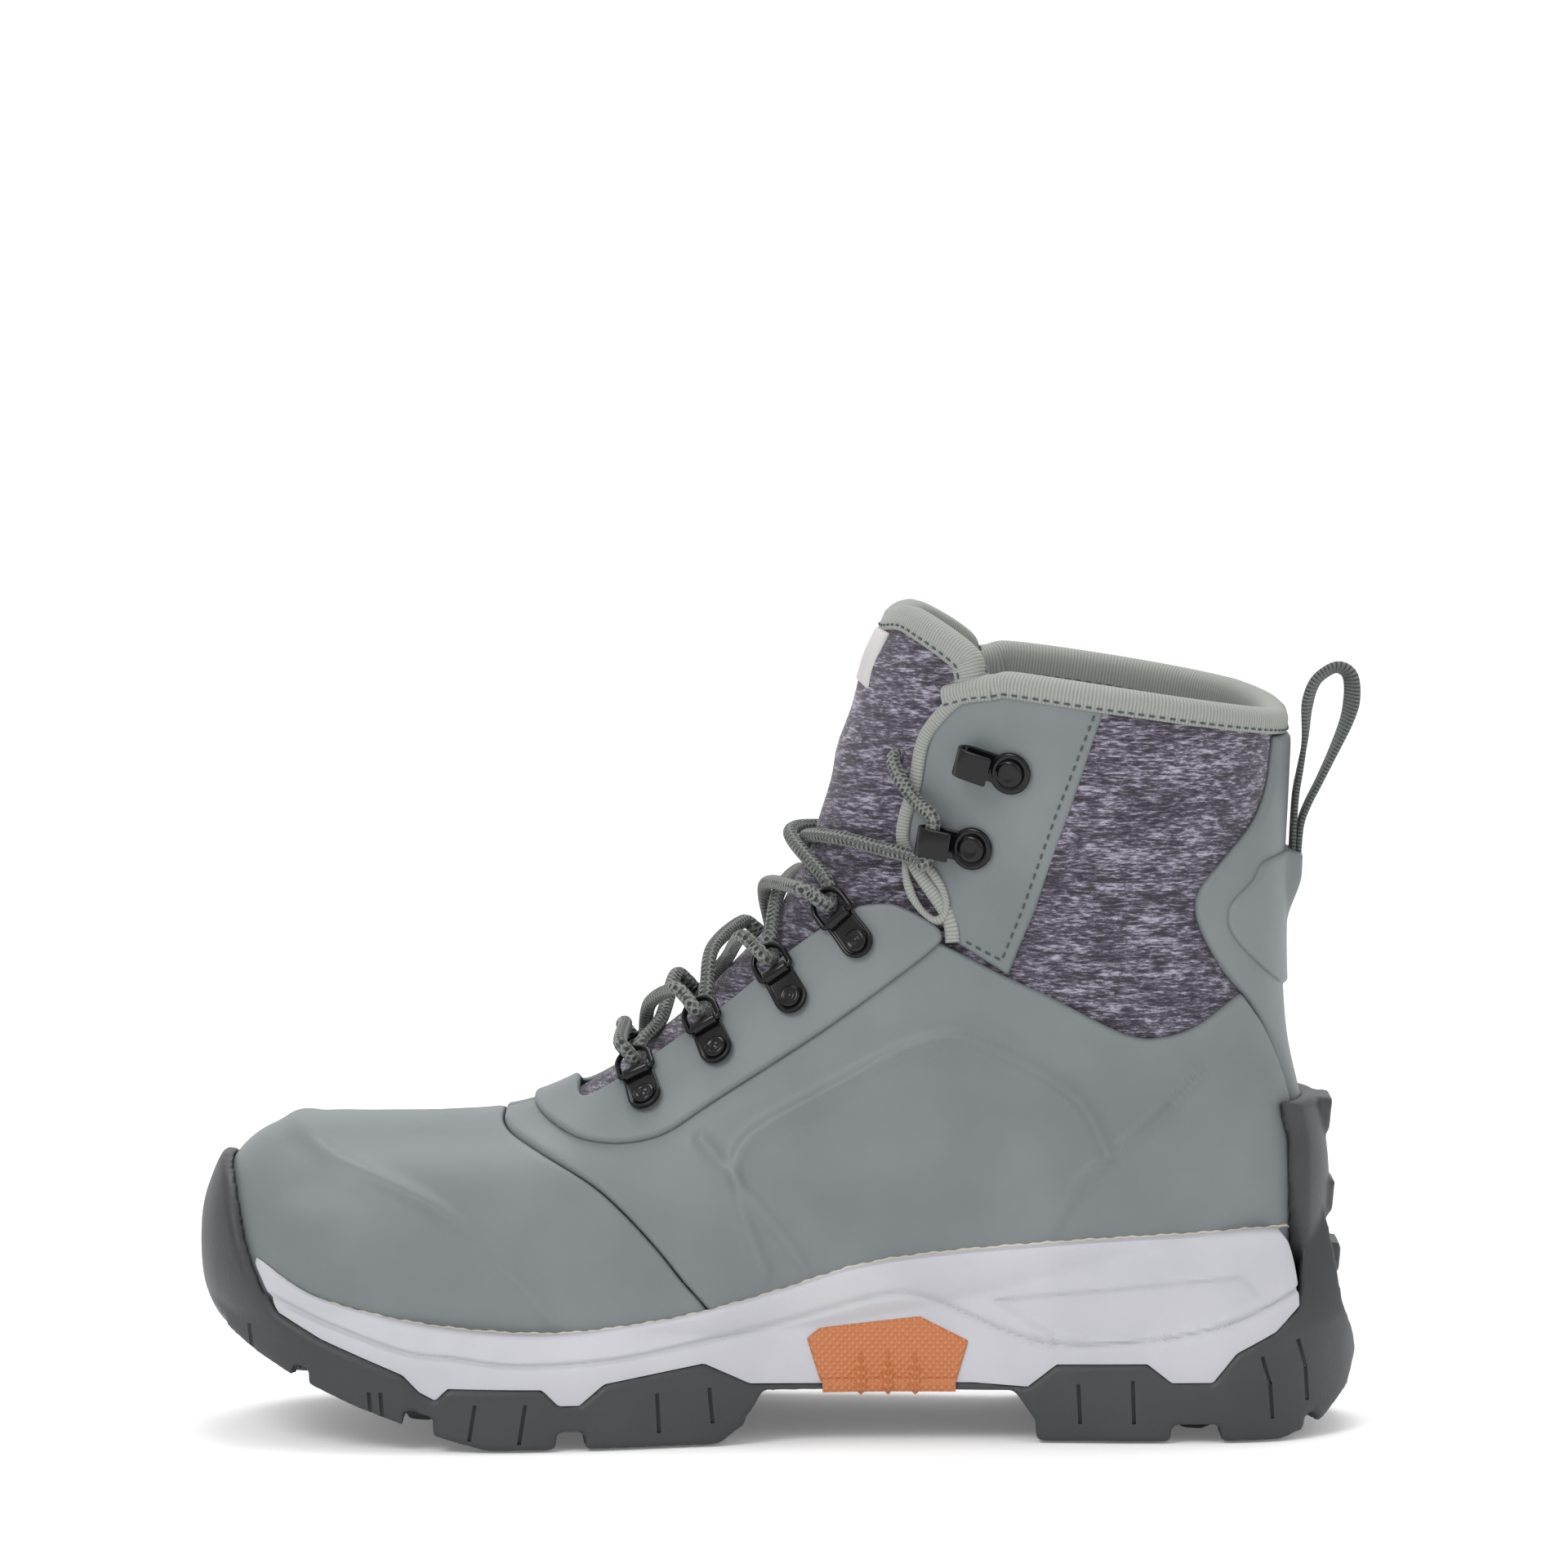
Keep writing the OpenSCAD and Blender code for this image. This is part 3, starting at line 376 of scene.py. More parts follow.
def panel(name, outline, low, high, side="both", rim=1.0, relief=None, step=1.15, inner_relief=None, hole=None,
          lift=0.0):
    rows, turns = GRIDS[step]
    U, A = np.meshgrid(rows, turns, indexing="ij")

    def depth_at(u, a):
        p = on_last(u, a, np.full(np.shape(u), high))
        p[:, 2] -= lift * np.clip((p[:, 1] + 6) / 34, 0, 1)
        d = depth_inside(p[:, [0, 2]], outline)
        if hole is not None:
            d = np.minimum(d, -depth_inside(p[:, [0, 2]], hole))
        if side == "medial":
            d = np.minimum(d, -p[:, 1] - 0.1)
        if side == "lateral":
            d = np.minimum(d, p[:, 1] - 0.1)
        return d

    u, a = U.ravel(), A.ravel()
    d = depth_at(u, a)
    index = np.arange(U.size).reshape(U.shape)
    after = np.roll(index, -1, axis=1)
    quads = np.stack([index[:-1], index[1:], after[1:], after[:-1]], -1).reshape(-1, 4)
    middle = d[quads].min(axis=1) > rim
    edge = (d[quads].max(axis=1) > 0) & ~middle
    edge_faces = quads[edge].tolist()
    for level in (0, 0.1 * rim, 0.35 * rim, rim):
        edge_faces, u, a, d = contour(level, edge_faces, u, a, d, depth_at)
        if level == 0:
            edge_faces = [face for face in edge_faces if d[face].max() > 0]
    kept = quads[middle].tolist() + edge_faces
    ids = np.unique(np.concatenate([np.ravel(face) for face in kept]))
    t = low + (high - low) * rounded(d, rim)
    base = last_points(u, a)
    normal = outward(u, a)
    spots = base + high * normal
    if relief is not None:
        t = t + relief(spots, d) * np.clip(d / 1.5, 0, 1)
    inner = np.full(len(t), float(low))
    if inner_relief is not None:
        inner = inner + inner_relief(spots, d)
    outer_points = base + t[:, None] * normal
    inner_points = base + inner[:, None] * normal
    number = np.full(len(u), -1)
    number[ids] = np.arange(len(ids))
    inner_ids = ids[d[ids] > 0]
    number_in = number.copy()
    number_in[inner_ids] = len(ids) + np.arange(len(inner_ids))
    vertices = np.vstack([outer_points[ids], inner_points[inner_ids]])
    faces = [number[face[::-1]].tolist() for face in kept] + [number_in[face].tolist() for face in kept]
    if (d[index[0]] > 0).all():
        faces += [number[index[0]].tolist(), number_in[index[0]][::-1].tolist()]
    turn = np.mod(a, 360)
    cloth = np.stack([np.where(turn > 180, turn - 360, turn) / 360 * 270, np.interp(u, path_u, path_mm)], -1)
    piece = new_object(name, vertices, faces, np.vstack([cloth[ids], cloth[inner_ids]]))
    print(f"{name}: {len(faces)} faces")
    return piece


# %% Placing small things on the last
fine_u, fine_a = np.meshgrid(np.linspace(0.5, LAST_STATION, 500), np.linspace(0, 180, 240), indexing="ij")


def find_on_last(points, t, side="medial"):
    """u and a of side-view points on one side of the last, at a height t above it."""
    a = fine_a if side == "medial" else 360 - fine_a
    surface = on_last(fine_u, a, np.full(fine_u.shape, t))[..., [0, 2]].reshape(-1, 2)
    facing = (outward(fine_u, a)[..., 1] * (-1 if side == "medial" else 1)).ravel()
    surface[facing < -0.05] += 1000
    u, aa = [], []
    for p in np.asarray(points, float):
        k = int(np.argmin(((surface - p) ** 2).sum(axis=1)))
        u.append(fine_u.ravel()[k])
        aa.append(a.ravel()[k])
    u, aa = np.array(u), np.array(aa)
    for _ in range(5):
        here = on_last(u, aa, np.full(u.shape, t))[:, [0, 2]]
        du = (on_last(u + 0.01, aa, np.full(u.shape, t))[:, [0, 2]] - here) / 0.01
        da = (on_last(u, aa + 0.3, np.full(u.shape, t))[:, [0, 2]] - here) / 0.3
        miss = np.asarray(points, float) - here
        det = du[:, 0] * da[:, 1] - du[:, 1] * da[:, 0]
        det = np.where(np.abs(det) < 0.05, 0.05, det)
        u = np.clip(u + np.clip((miss[:, 0] * da[:, 1] - miss[:, 1] * da[:, 0]) / det, -0.1, 0.1), 0, LAST_STATION)
        aa = aa + np.clip((du[:, 0] * miss[:, 1] - du[:, 1] * miss[:, 0]) / det, -2, 2)
    return u, aa


def even_line(points, spacing):
    p = np.asarray(points, float)
    total = np.concatenate([[0], np.cumsum(np.linalg.norm(np.diff(p, axis=0), axis=1))])
    at = np.linspace(0, total[-1], max(int(round(total[-1] / spacing)), 2) + 1)
    return np.stack([np.interp(at, total, p[:, k]) for k in range(p.shape[1])], -1)


def dress(piece, material, body="boot", replaces=()):
    piece.data.materials.clear()
    piece.data.materials.append(material)
    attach(piece, body)
    if replaces:
        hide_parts(*replaces)
    return piece


# %% [markdown]
# ## Materials
# Effects that several finishes share are node groups: fine grain, and uneven tone. Each finish has
# its own colours, roughness and scale. Cloth patterns follow the cloth's own coordinates, in which
# one unit is one metre round or along the boot.

# %% Helpers for materials
def new_material(name, color, roughness, metallic=0.0, **sockets):
    material = bpy.data.materials.new(name)
    material.use_nodes = True
    shader = material.node_tree.nodes["Principled BSDF"]
    shader.inputs["Base Color"].default_value = (*color, 1)
    shader.inputs["Roughness"].default_value = roughness
    shader.inputs["Metallic"].default_value = metallic
    for key, value in sockets.items():
        shader.inputs[key.replace("_", " ")].default_value = value
    return material, material.node_tree, shader


def add(tree, kind, **values):
    n = tree.nodes.new(kind)
    for key, value in values.items():
        if hasattr(n, key):
            setattr(n, key, value)
        else:
            n.inputs[key].default_value = value
    return n


def coordinates(tree, scale=(1, 1, 1), kind="Object", turn=(0, 0, 0)):
    place = add(tree, "ShaderNodeTexCoord")
    mapping = add(tree, "ShaderNodeMapping")
    mapping.inputs["Scale"].default_value = scale
    mapping.inputs["Rotation"].default_value = turn
    tree.links.new(place.outputs[kind], mapping.inputs["Vector"])
    return mapping.outputs["Vector"]


def two_tone(tree, factor, dark, light, low=0.0, high=1.0):
    ramp = add(tree, "ShaderNodeValToRGB")
    ramp.color_ramp.elements[0].position = low
    ramp.color_ramp.elements[1].position = high
    ramp.color_ramp.elements[0].color = (*dark, 1)
    ramp.color_ramp.elements[1].color = (*light, 1)
    tree.links.new(factor, ramp.inputs["Fac"])
    return ramp.outputs["Color"]


def group_of(name, ins, outs):
    group = bpy.data.node_groups.new(name, "ShaderNodeTree")
    for socket, kind, value in ins:
        s = group.interface.new_socket(socket, in_out="INPUT", socket_type=kind)
        if value is not None:
            s.default_value = value
    for socket, kind in outs:
        group.interface.new_socket(socket, in_out="OUTPUT", socket_type=kind)
    return group, group.nodes.new("NodeGroupInput"), group.nodes.new("NodeGroupOutput")


# %% Shared effect: moulded grain
# Fine pits over a faint, wider unevenness, as on moulded rubber and foam.
grain_group, grain_in, grain_out = group_of(
    "moulded grain",
    [("Vector", "NodeSocketVector", None), ("Scale", "NodeSocketFloat", 900.0), ("Depth", "NodeSocketFloat", 0.3)],
    [("Normal", "NodeSocketVector"), ("Tone", "NodeSocketFloat")])
fine = add(grain_group, "ShaderNodeTexNoise", Detail=3.0)
wide = add(grain_group, "ShaderNodeTexNoise", Scale=28.0, Detail=3.0)
bump = add(grain_group, "ShaderNodeBump", Distance=0.0003)
grain_group.links.new(grain_in.outputs["Vector"], fine.inputs["Vector"])
grain_group.links.new(grain_in.outputs["Vector"], wide.inputs["Vector"])
grain_group.links.new(grain_in.outputs["Scale"], fine.inputs["Scale"])
grain_group.links.new(fine.outputs["Fac"], bump.inputs["Height"])
grain_group.links.new(grain_in.outputs["Depth"], bump.inputs["Strength"])
grain_group.links.new(bump.outputs["Normal"], grain_out.inputs["Normal"])
grain_group.links.new(wide.outputs["Fac"], grain_out.inputs["Tone"])


def moulded(name, dark, light, roughness, scale=900.0, depth=0.3, **sockets):
    material, tree, shader = new_material(name, light, roughness, **sockets)
    grain = add(tree, "ShaderNodeGroup")
    grain.node_tree = grain_group
    grain.inputs["Scale"].default_value = scale
    grain.inputs["Depth"].default_value = depth
    tree.links.new(coordinates(tree), grain.inputs["Vector"])
    tree.links.new(grain.outputs["Normal"], shader.inputs["Normal"])
    tree.links.new(two_tone(tree, grain.outputs["Tone"], dark, light, 0.35, 0.65), shader.inputs["Base Color"])
    return material


# %% Rubber, foam and moulded plastic
cage_rubber = moulded("cage rubber", (0.134, 0.152, 0.158), (0.160, 0.180, 0.186), 0.5, 1400.0, 0.16)
outsole_rubber = moulded("outsole rubber", (0.026, 0.028, 0.031), (0.036, 0.038, 0.042), 0.5, 900.0, 0.3)
midsole_foam = moulded("midsole foam", (0.42, 0.42, 0.455), (0.48, 0.48, 0.515), 0.6, 1100.0, 0.25)
board_fibre = moulded("board fibre", (0.42, 0.37, 0.29), (0.52, 0.47, 0.38), 0.8, 500.0, 0.4)
stiffener_sheet = moulded("stiffener sheet", (0.62, 0.59, 0.52), (0.70, 0.67, 0.60), 0.7, 500.0, 0.3)
shank_nylon = moulded("shank nylon", (0.12, 0.12, 0.13), (0.17, 0.17, 0.18), 0.5, 700.0, 0.3)
tip_plastic = moulded("tip plastic", (0.02, 0.02, 0.022), (0.035, 0.035, 0.037), 0.3, 900.0, 0.05)
print("moulded materials made")


# %% [markdown]
# The knit is space-dyed: each yarn changes colour every few millimetres, so short streaks of
# aubergine and lavender grey lie along the courses. Stretched noise gives the streaks, and fine rows
# of stitches give the bump.

# %% Knit
def knit_material(name, dark, middle, light):
    material, tree, shader = new_material(name, middle, 0.9, Sheen_Weight=0.25, Sheen_Roughness=0.5)
    streaks = add(tree, "ShaderNodeTexNoise", Scale=1.0, Detail=4.0, Roughness=0.75)
    patches = add(tree, "ShaderNodeTexNoise", Scale=1.0, Detail=2.0)
    tree.links.new(coordinates(tree, (330, 330, 1750)), streaks.inputs["Vector"])
    tree.links.new(coordinates(tree, (90, 90, 420)), patches.inputs["Vector"])
    blend = add(tree, "ShaderNodeMath", operation="MULTIPLY_ADD")
    tree.links.new(patches.outputs["Fac"], blend.inputs[0])
    blend.inputs[1].default_value = 0.35
    tree.links.new(streaks.outputs["Fac"], blend.inputs[2])
    ramp = add(tree, "ShaderNodeValToRGB")
    ramp.color_ramp.elements[0].position = 0.58
    ramp.color_ramp.elements[0].color = (*dark, 1)
    ramp.color_ramp.elements[1].position = 0.84
    ramp.color_ramp.elements[1].color = (*light, 1)
    centre = ramp.color_ramp.elements.new(0.69)
    centre.color = (*middle, 1)
    tree.links.new(blend.outputs[0], ramp.inputs["Fac"])
    tree.links.new(ramp.outputs["Color"], shader.inputs["Base Color"])
    rows = add(tree, "ShaderNodeTexWave", Scale=1.0, Distortion=1.2, bands_direction="Y")
    rows.inputs["Detail"].default_value = 1.0
    tree.links.new(coordinates(tree, (250, 330, 1), "UV"), rows.inputs["Vector"])
    loops = add(tree, "ShaderNodeTexNoise", Scale=1.0, Detail=2.0)
    tree.links.new(coordinates(tree, (1100, 1900, 1), "UV"), loops.inputs["Vector"])
    both = add(tree, "ShaderNodeMath", operation="MULTIPLY_ADD")
    tree.links.new(loops.outputs["Fac"], both.inputs[0])
    both.inputs[1].default_value = 1.2
    tree.links.new(rows.outputs["Fac"], both.inputs[2])
    bump = add(tree, "ShaderNodeBump", Strength=0.45, Distance=0.0004)
    tree.links.new(both.outputs[0], bump.inputs["Height"])
    tree.links.new(bump.outputs["Normal"], shader.inputs["Normal"])
    return material


knit = knit_material("knit", (0.020, 0.016, 0.025), (0.078, 0.066, 0.094), (0.36, 0.34, 0.42))
lining_mesh = knit_material("lining mesh", (0.05, 0.05, 0.055), (0.10, 0.10, 0.11), (0.20, 0.20, 0.21))
insole_cloth = knit_material("insole cloth", (0.05, 0.052, 0.056), (0.08, 0.083, 0.088), (0.13, 0.133, 0.14))
print("knit materials made")


# %% [markdown]
# Binding tape has fine ribs across its length. The cloth coordinate runs along the tape, so a wave on
# it gives the ribs at their real width.

# %% Binding tape and webbing
def ribbed(name, dark, light, per_metre, strength, direction="X", rough=0.85):
    material, tree, shader = new_material(name, light, rough, Sheen_Weight=0.15)
    ribs = add(tree, "ShaderNodeTexWave", Scale=1.0, Distortion=0.3, bands_direction=direction)
    tree.links.new(coordinates(tree, (per_metre, per_metre, 1), "UV"), ribs.inputs["Vector"])
    fuzz = add(tree, "ShaderNodeTexNoise", Scale=1500.0, Detail=2.0)
    tree.links.new(coordinates(tree, (1, 1, 1), "UV"), fuzz.inputs["Vector"])
    mix = add(tree, "ShaderNodeMath", operation="MULTIPLY_ADD")
    tree.links.new(fuzz.outputs["Fac"], mix.inputs[0])
    mix.inputs[1].default_value = 0.5
    tree.links.new(ribs.outputs["Fac"], mix.inputs[2])
    # The colour follows the ribs and is darker in their troughs, where the bump is low: painted shade. The fuzz mixed
    # in is random tone.
    tree.links.new(two_tone(tree, mix.outputs[0], dark, light, 0.25, 0.85), shader.inputs["Base Color"])
    bump = add(tree, "ShaderNodeBump", Strength=strength, Distance=0.0003)
    tree.links.new(mix.outputs[0], bump.inputs["Height"])
    tree.links.new(bump.outputs["Normal"], shader.inputs["Normal"])
    return material


binding_tape = ribbed("binding tape", (0.19, 0.20, 0.182), (0.29, 0.30, 0.275), 330.0, 0.4)
webbing_weave = ribbed("webbing", (0.02, 0.022, 0.024), (0.13, 0.14, 0.135), 330.0, 0.6)
thread = ribbed("stitch thread", (0.030, 0.040, 0.045), (0.06, 0.075, 0.08), 900.0, 0.3)
print("tape, webbing and thread made")


# %% [markdown]
# The lace is a round braid. Its cloth coordinate runs along the lace and round it; two crossing
# diagonal waves give the plait, and a coarser check gives the dark tracer yarns.

# %% Lace and metal
def lace_material():
    material, tree, shader = new_material("lace braid", (0.2, 0.21, 0.2), 0.85, Sheen_Weight=0.2)
    lean = []
    for angle in (0.62, -0.62):
        wave = add(tree, "ShaderNodeTexWave", Scale=1.0, bands_direction="X")
        tree.links.new(coordinates(tree, (240, 240, 1), "UV", (0, 0, angle)), wave.inputs["Vector"])
        lean.append(wave.outputs["Fac"])
    plait = add(tree, "ShaderNodeMath", operation="MAXIMUM")
    tree.links.new(lean[0], plait.inputs[0])
    tree.links.new(lean[1], plait.inputs[1])
    flecks = add(tree, "ShaderNodeTexWave", Scale=1.0, bands_direction="X")
    tree.links.new(coordinates(tree, (230, 230, 1), "UV"), flecks.inputs["Vector"])
    lanes = add(tree, "ShaderNodeTexWave", Scale=1.0, bands_direction="Y")
    tree.links.new(coordinates(tree, (105, 105, 1), "UV"), lanes.inputs["Vector"])
    dots = add(tree, "ShaderNodeMath", operation="MULTIPLY")
    tree.links.new(flecks.outputs["Fac"], dots.inputs[0])
    tree.links.new(lanes.outputs["Fac"], dots.inputs[1])
    # The plait is darker in the gaps between its strands, where its bump is low: painted shade. The dark spots mixed in
    # below are the tracer yarns.
    base = two_tone(tree, plait.outputs[0], (0.06, 0.066, 0.06), (0.19, 0.20, 0.188), 0.3, 1.0)
    mix = add(tree, "ShaderNodeMix", data_type="RGBA")
    spots = two_tone(tree, dots.outputs[0], (0, 0, 0), (1, 1, 1), 0.42, 0.5)
    tree.links.new(spots, mix.inputs[0])
    tree.links.new(base, mix.inputs[6])
    mix.inputs[7].default_value = (0.018, 0.02, 0.02, 1)
    tree.links.new(mix.outputs[2], shader.inputs["Base Color"])
    bump = add(tree, "ShaderNodeBump", Strength=0.8, Distance=0.0005)
    tree.links.new(plait.outputs[0], bump.inputs["Height"])
    tree.links.new(bump.outputs["Normal"], shader.inputs["Normal"])
    return material


lace_braid = lace_material()
black_metal = moulded("black enamel", (0.003, 0.003, 0.004), (0.005, 0.005, 0.006), 0.16, 300.0, 0.02,
                      Specular_IOR_Level=0.3)
print("lace and metal made")


# %% [markdown]
# ## The sock
# The knit sock and its mesh lining are two layers of the last. The knit swells softly where no rubber
# holds it down: behind the flap, and on the tongue between the two rows of rings.

# %% Knit bootie and lining
SHAFT_OUTLINE = np.vstack([[[44, 131]], KNIT_EDGE, STAY_EDGE[::-1], COLLAR_LINE[::-1], [[50, 197], [44, 150]]])
OUTER_LIFT = 3.0
BOOTIE = np.vstack([TONGUE_EDGE[:-1], COLLAR_LINE + [0.5, -3.5], [[170, 180], [170, 0], [-170, 0], [-170, 92]]])


def swell(spots, depth):
    room = depth_inside(spots[:, [0, 2]], SHAFT_OUTLINE)
    puff = 1.3 * rounded(np.clip(room - 2, 0, None), 16)
    folds = 0.25 * np.sin(spots[:, 2] / 5.5 + spots[:, 0] / 14) * np.clip(room / 14, 0, 1)
    return puff + folds


bootie = dress(panel("knit bootie", BOOTIE, -3.5, 0, rim=0.7, step=2.2, relief=swell, lift=OUTER_LIFT), knit, replaces=["bootie"])
lining = dress(panel("mesh lining", BOOTIE, -5.5, -4.7, step=2.2, lift=OUTER_LIFT), lining_mesh,
               replaces=["lining"])
INSOLE = np.array([[-150, 0], [-150, 50], [-60, 40], [20, 45.5], [85, 51.5], [150, 65], [150, 0]], float)
insole = dress(panel("insole", INSOLE, -10.4, -5.65, step=2.2, rim=3), insole_cloth,
               replaces=["insole"])


# %% [markdown]
# The tongue is padded. It puffs out between the throat edges, and its top edge carries a rolled tape.

# %% Tongue and its patch
TONGUE = np.vstack([TONGUE_EDGE + [1.4, -1.2], TONGUE_TOP + [0, -3.5], [[0, 205], [-61, 110]]])


def tongue_puff(spots, depth):
    ridge = 0.9 * rounded(np.clip(depth - 1, 0, None), 15)
    waves = 0.22 * np.sin(spots[:, 2] / 3.1) * np.clip(depth / 6, 0, 1)
    return ridge + waves


tongue = dress(panel("padded tongue", TONGUE, -5.3, -0.3, relief=tongue_puff, rim=1.6), knit,
               replaces=["tongue"])


# %% [markdown]
# ## The rubber cage
# Vamp, quarters, eyestay, flaps, heel stay and heel tab are moulded sheets with rounded rims. Low
# ridges run over them where the mould has lines of decoration.

# %% Vamp and quarters
TOE_RIDGE = curve([[-131, 82], [-124.9, 79.3], [-115, 73.2], [-99.8, 67], [-87.1, 60.5], [-76.1, 51.4],
                   [-67.1, 43.2], [-59.8, 33.3], [-57, 28]])
CREASES = [
    curve([[-3.4, 43], [-11, 64.6], [-9, 78], [11.6, 90.5], [37.4, 103.6], [54, 103], [76, 91], [84.7, 76]]),
    curve([[66.4, 46.9], [74, 62], [80.4, 70.7], [95.5, 83.6], [108.4, 97]]),
    curve([[-20.6, 78.6], [-12, 68.9], [0.9, 53.8], [7.3, 44]]),
]


def bump_line(spots, line, height, width):
    return height * np.exp(-((line_distance(spots[:, [0, 2]], line) / width) ** 2))


def clear_of_sole(spots):
    edge = np.interp(spots[:, 0], SOLE_EDGE[:, 0], SOLE_EDGE[:, 1])
    return np.clip((spots[:, 2] - edge - 1) / 5, 0, 1)


def vamp_relief(spots, depth):
    groove = -0.9 * np.exp(-((line_distance(spots[:, [0, 2]], VAMP_SEAM) / 0.9) ** 2))
    return bump_line(spots, TOE_RIDGE, 1.3, 2.2) * clear_of_sole(spots) + groove


def quarter_relief(spots, depth):
    raised = sum(bump_line(spots, line, 1.7, 1.7) for line in CREASES) * clear_of_sole(spots)
    return raised + 0.35 * np.exp(-((line_distance(spots[:, [0, 2]], VAMP_SEAM) / 2.5) ** 2))


def cage_outline(points):
    return np.vstack(points)


VAMP = cage_outline([VAMP_SEAM + [-0.05, 0], [[-170, 18], [-170, 90], [-61, 90]]])
THROAT_WALL = np.vstack([TONGUE_EDGE, [[20, 230], [-61, 230]]])
QUARTER = cage_outline([[[20, 135], [27.7, 137.9], [32.5, 136.5], [39.5, 132.5]], KNIT_EDGE - 0.2, HEEL_SEAM - 0.2,
                        [[170, 71.8], [170, 18]], VAMP_SEAM[::-1] + [0.15, 0]])
dress(panel("toe vamp", VAMP, 0.05, 2.0, rim=0.8, relief=vamp_relief, hole=THROAT_WALL), cage_rubber,
      replaces=["toe_vamp"])
for side in ("medial", "lateral"):
    dress(panel(f"quarter {side}", QUARTER, 0.05, 2.15, side, relief=quarter_relief, hole=THROAT_WALL), cage_rubber,
          replaces=[f"quarter_{side}"])


# %% Eyestay, flaps and heel pieces
EYESTAY = np.vstack([THROAT_EDGE, EYESTAY_EDGE])
dress(panel("eyestay", EYESTAY, 2.2, 3.9, rim=0.9, step=0.8), cage_rubber,
      replaces=["eyestay"])
FLAP = np.vstack([FLAP_FRONT + [2.4, 0], FLAP_REAR, [[84.2, 194], [57, 197.5]]])
STAY = np.vstack([STAY_EDGE, HEEL_SEAM, [[170, 72], [170, 184]]])
TAB = np.vstack([TAB_EDGE, [[170, 116], [170, 152.3]]])


def stay_relief(spots, depth):
    return 0.5 * rounded(depth, 9)


def tab_relief(spots, depth):
    across = np.clip((10.5 - np.abs(spots[:, 1])) / 4, 0, 1)
    height = np.clip((spots[:, 2] - 132) / 14, 0, 1)
    return 3.4 * across**2 * (3 - 2 * across) * height**2 * (3 - 2 * height)


for side in ("medial", "lateral"):
    dress(panel(f"flap {side}", FLAP, 0.05, 2.15, side, rim=1.2, step=0.8), cage_rubber,
          replaces=[f"flap_{side}"])
dress(panel("heel stay", STAY, 0.05, 2.15, rim=1.3, step=0.8, relief=stay_relief), cage_rubber,
      replaces=["heel_stay"])
dress(panel("heel tab", TAB, 2.2, 3.9, rim=1.0, step=0.8, relief=tab_relief), cage_rubber,
      replaces=["heel_tab"])


# %% [markdown]
# ## Tapes and stitches
# A tape is a rounded profile swept along an edge. The profile has one direction out of the last and
# one along the surface, past the edge. Stitches are short rounded bars, all of a seam in one mesh.

# %% Sweep and stitch tools
def directions(path, normals, reverse=False):
    p = np.asarray(path, float)
    along = unit(np.gradient(p, axis=0))
    n = unit(normals - (normals * along).sum(axis=1)[:, None] * along)
    up = np.cross(along, n) * (-1 if reverse else 1)
    return along, n, up


def sweep(name, path, out, up, profile, closed=False):
    """Carries a closed profile of (out, up) points along a path; the profile may change along it."""
    p, out, up = (np.asarray(v, float) for v in (path, out, up))
    prof = np.asarray(profile, float)
    if prof.ndim == 2:
        prof = np.repeat(prof[None], len(p), axis=0)
    n, m = len(p), prof.shape[1]
    verts = (p[:, None] + prof[..., 0:1] * out[:, None] + prof[..., 1:2] * up[:, None]).reshape(-1, 3)
    i = np.arange(n if closed else n - 1)
    j = np.arange(m)
    a = i[:, None] * m + j
    b = i[:, None] * m + (j + 1) % m
    c = ((i + 1) % n)[:, None] * m + (j + 1) % m
    d = ((i + 1) % n)[:, None] * m + j
    faces = np.stack([a, b, c, d], -1).reshape(-1, 4).tolist()
    if not closed:
        faces += [list(range(m - 1, -1, -1)), list(range((n - 1) * m, n * m))]
    along = np.concatenate([[0], np.cumsum(np.linalg.norm(np.diff(p, axis=0), axis=1))])
    girth = np.concatenate([[0], np.cumsum(np.linalg.norm(np.diff(prof[0], axis=0), axis=1))])
    uv = np.stack(np.broadcast_arrays(along[:, None], girth[None]), -1).reshape(-1, 2)
    piece = new_object(name, verts, faces, uv)
    tidy(piece)
    print(f"{name}: {len(faces)} faces")
    return piece


def tidy(piece):
    """Turns every face outwards."""
    bm = bmesh.new()
    bm.from_mesh(piece.data)
    bmesh.ops.recalc_face_normals(bm, faces=bm.faces)
    if bm.calc_volume(signed=True) < 0:
        bmesh.ops.reverse_faces(bm, faces=bm.faces)
    bm.to_mesh(piece.data)
    bm.free()


def edge_on_last(outline, t, turns, low, high, lift=0.0):
    """For each turn, the place where the last's line leaves an outline, searched from low to high u."""
    u = np.linspace(low, high, 220)
    found = []
    for a in turns:
        p = on_last(u, np.full(u.shape, a), np.full(u.shape, t))
        p[:, 2] -= lift * np.clip((p[:, 1] + 6) / 34, 0, 1)
        d = depth_inside(p[:, [0, 2]], outline)
        k = np.where((d[:-1] > 0) & (d[1:] <= 0))[0]
        if len(k):
            k = k[-1]
            found.append((u[k] + (u[k + 1] - u[k]) * d[k] / (d[k] - d[k + 1]), a))
    found = np.array(found)
    return found[:, 0], found[:, 1]


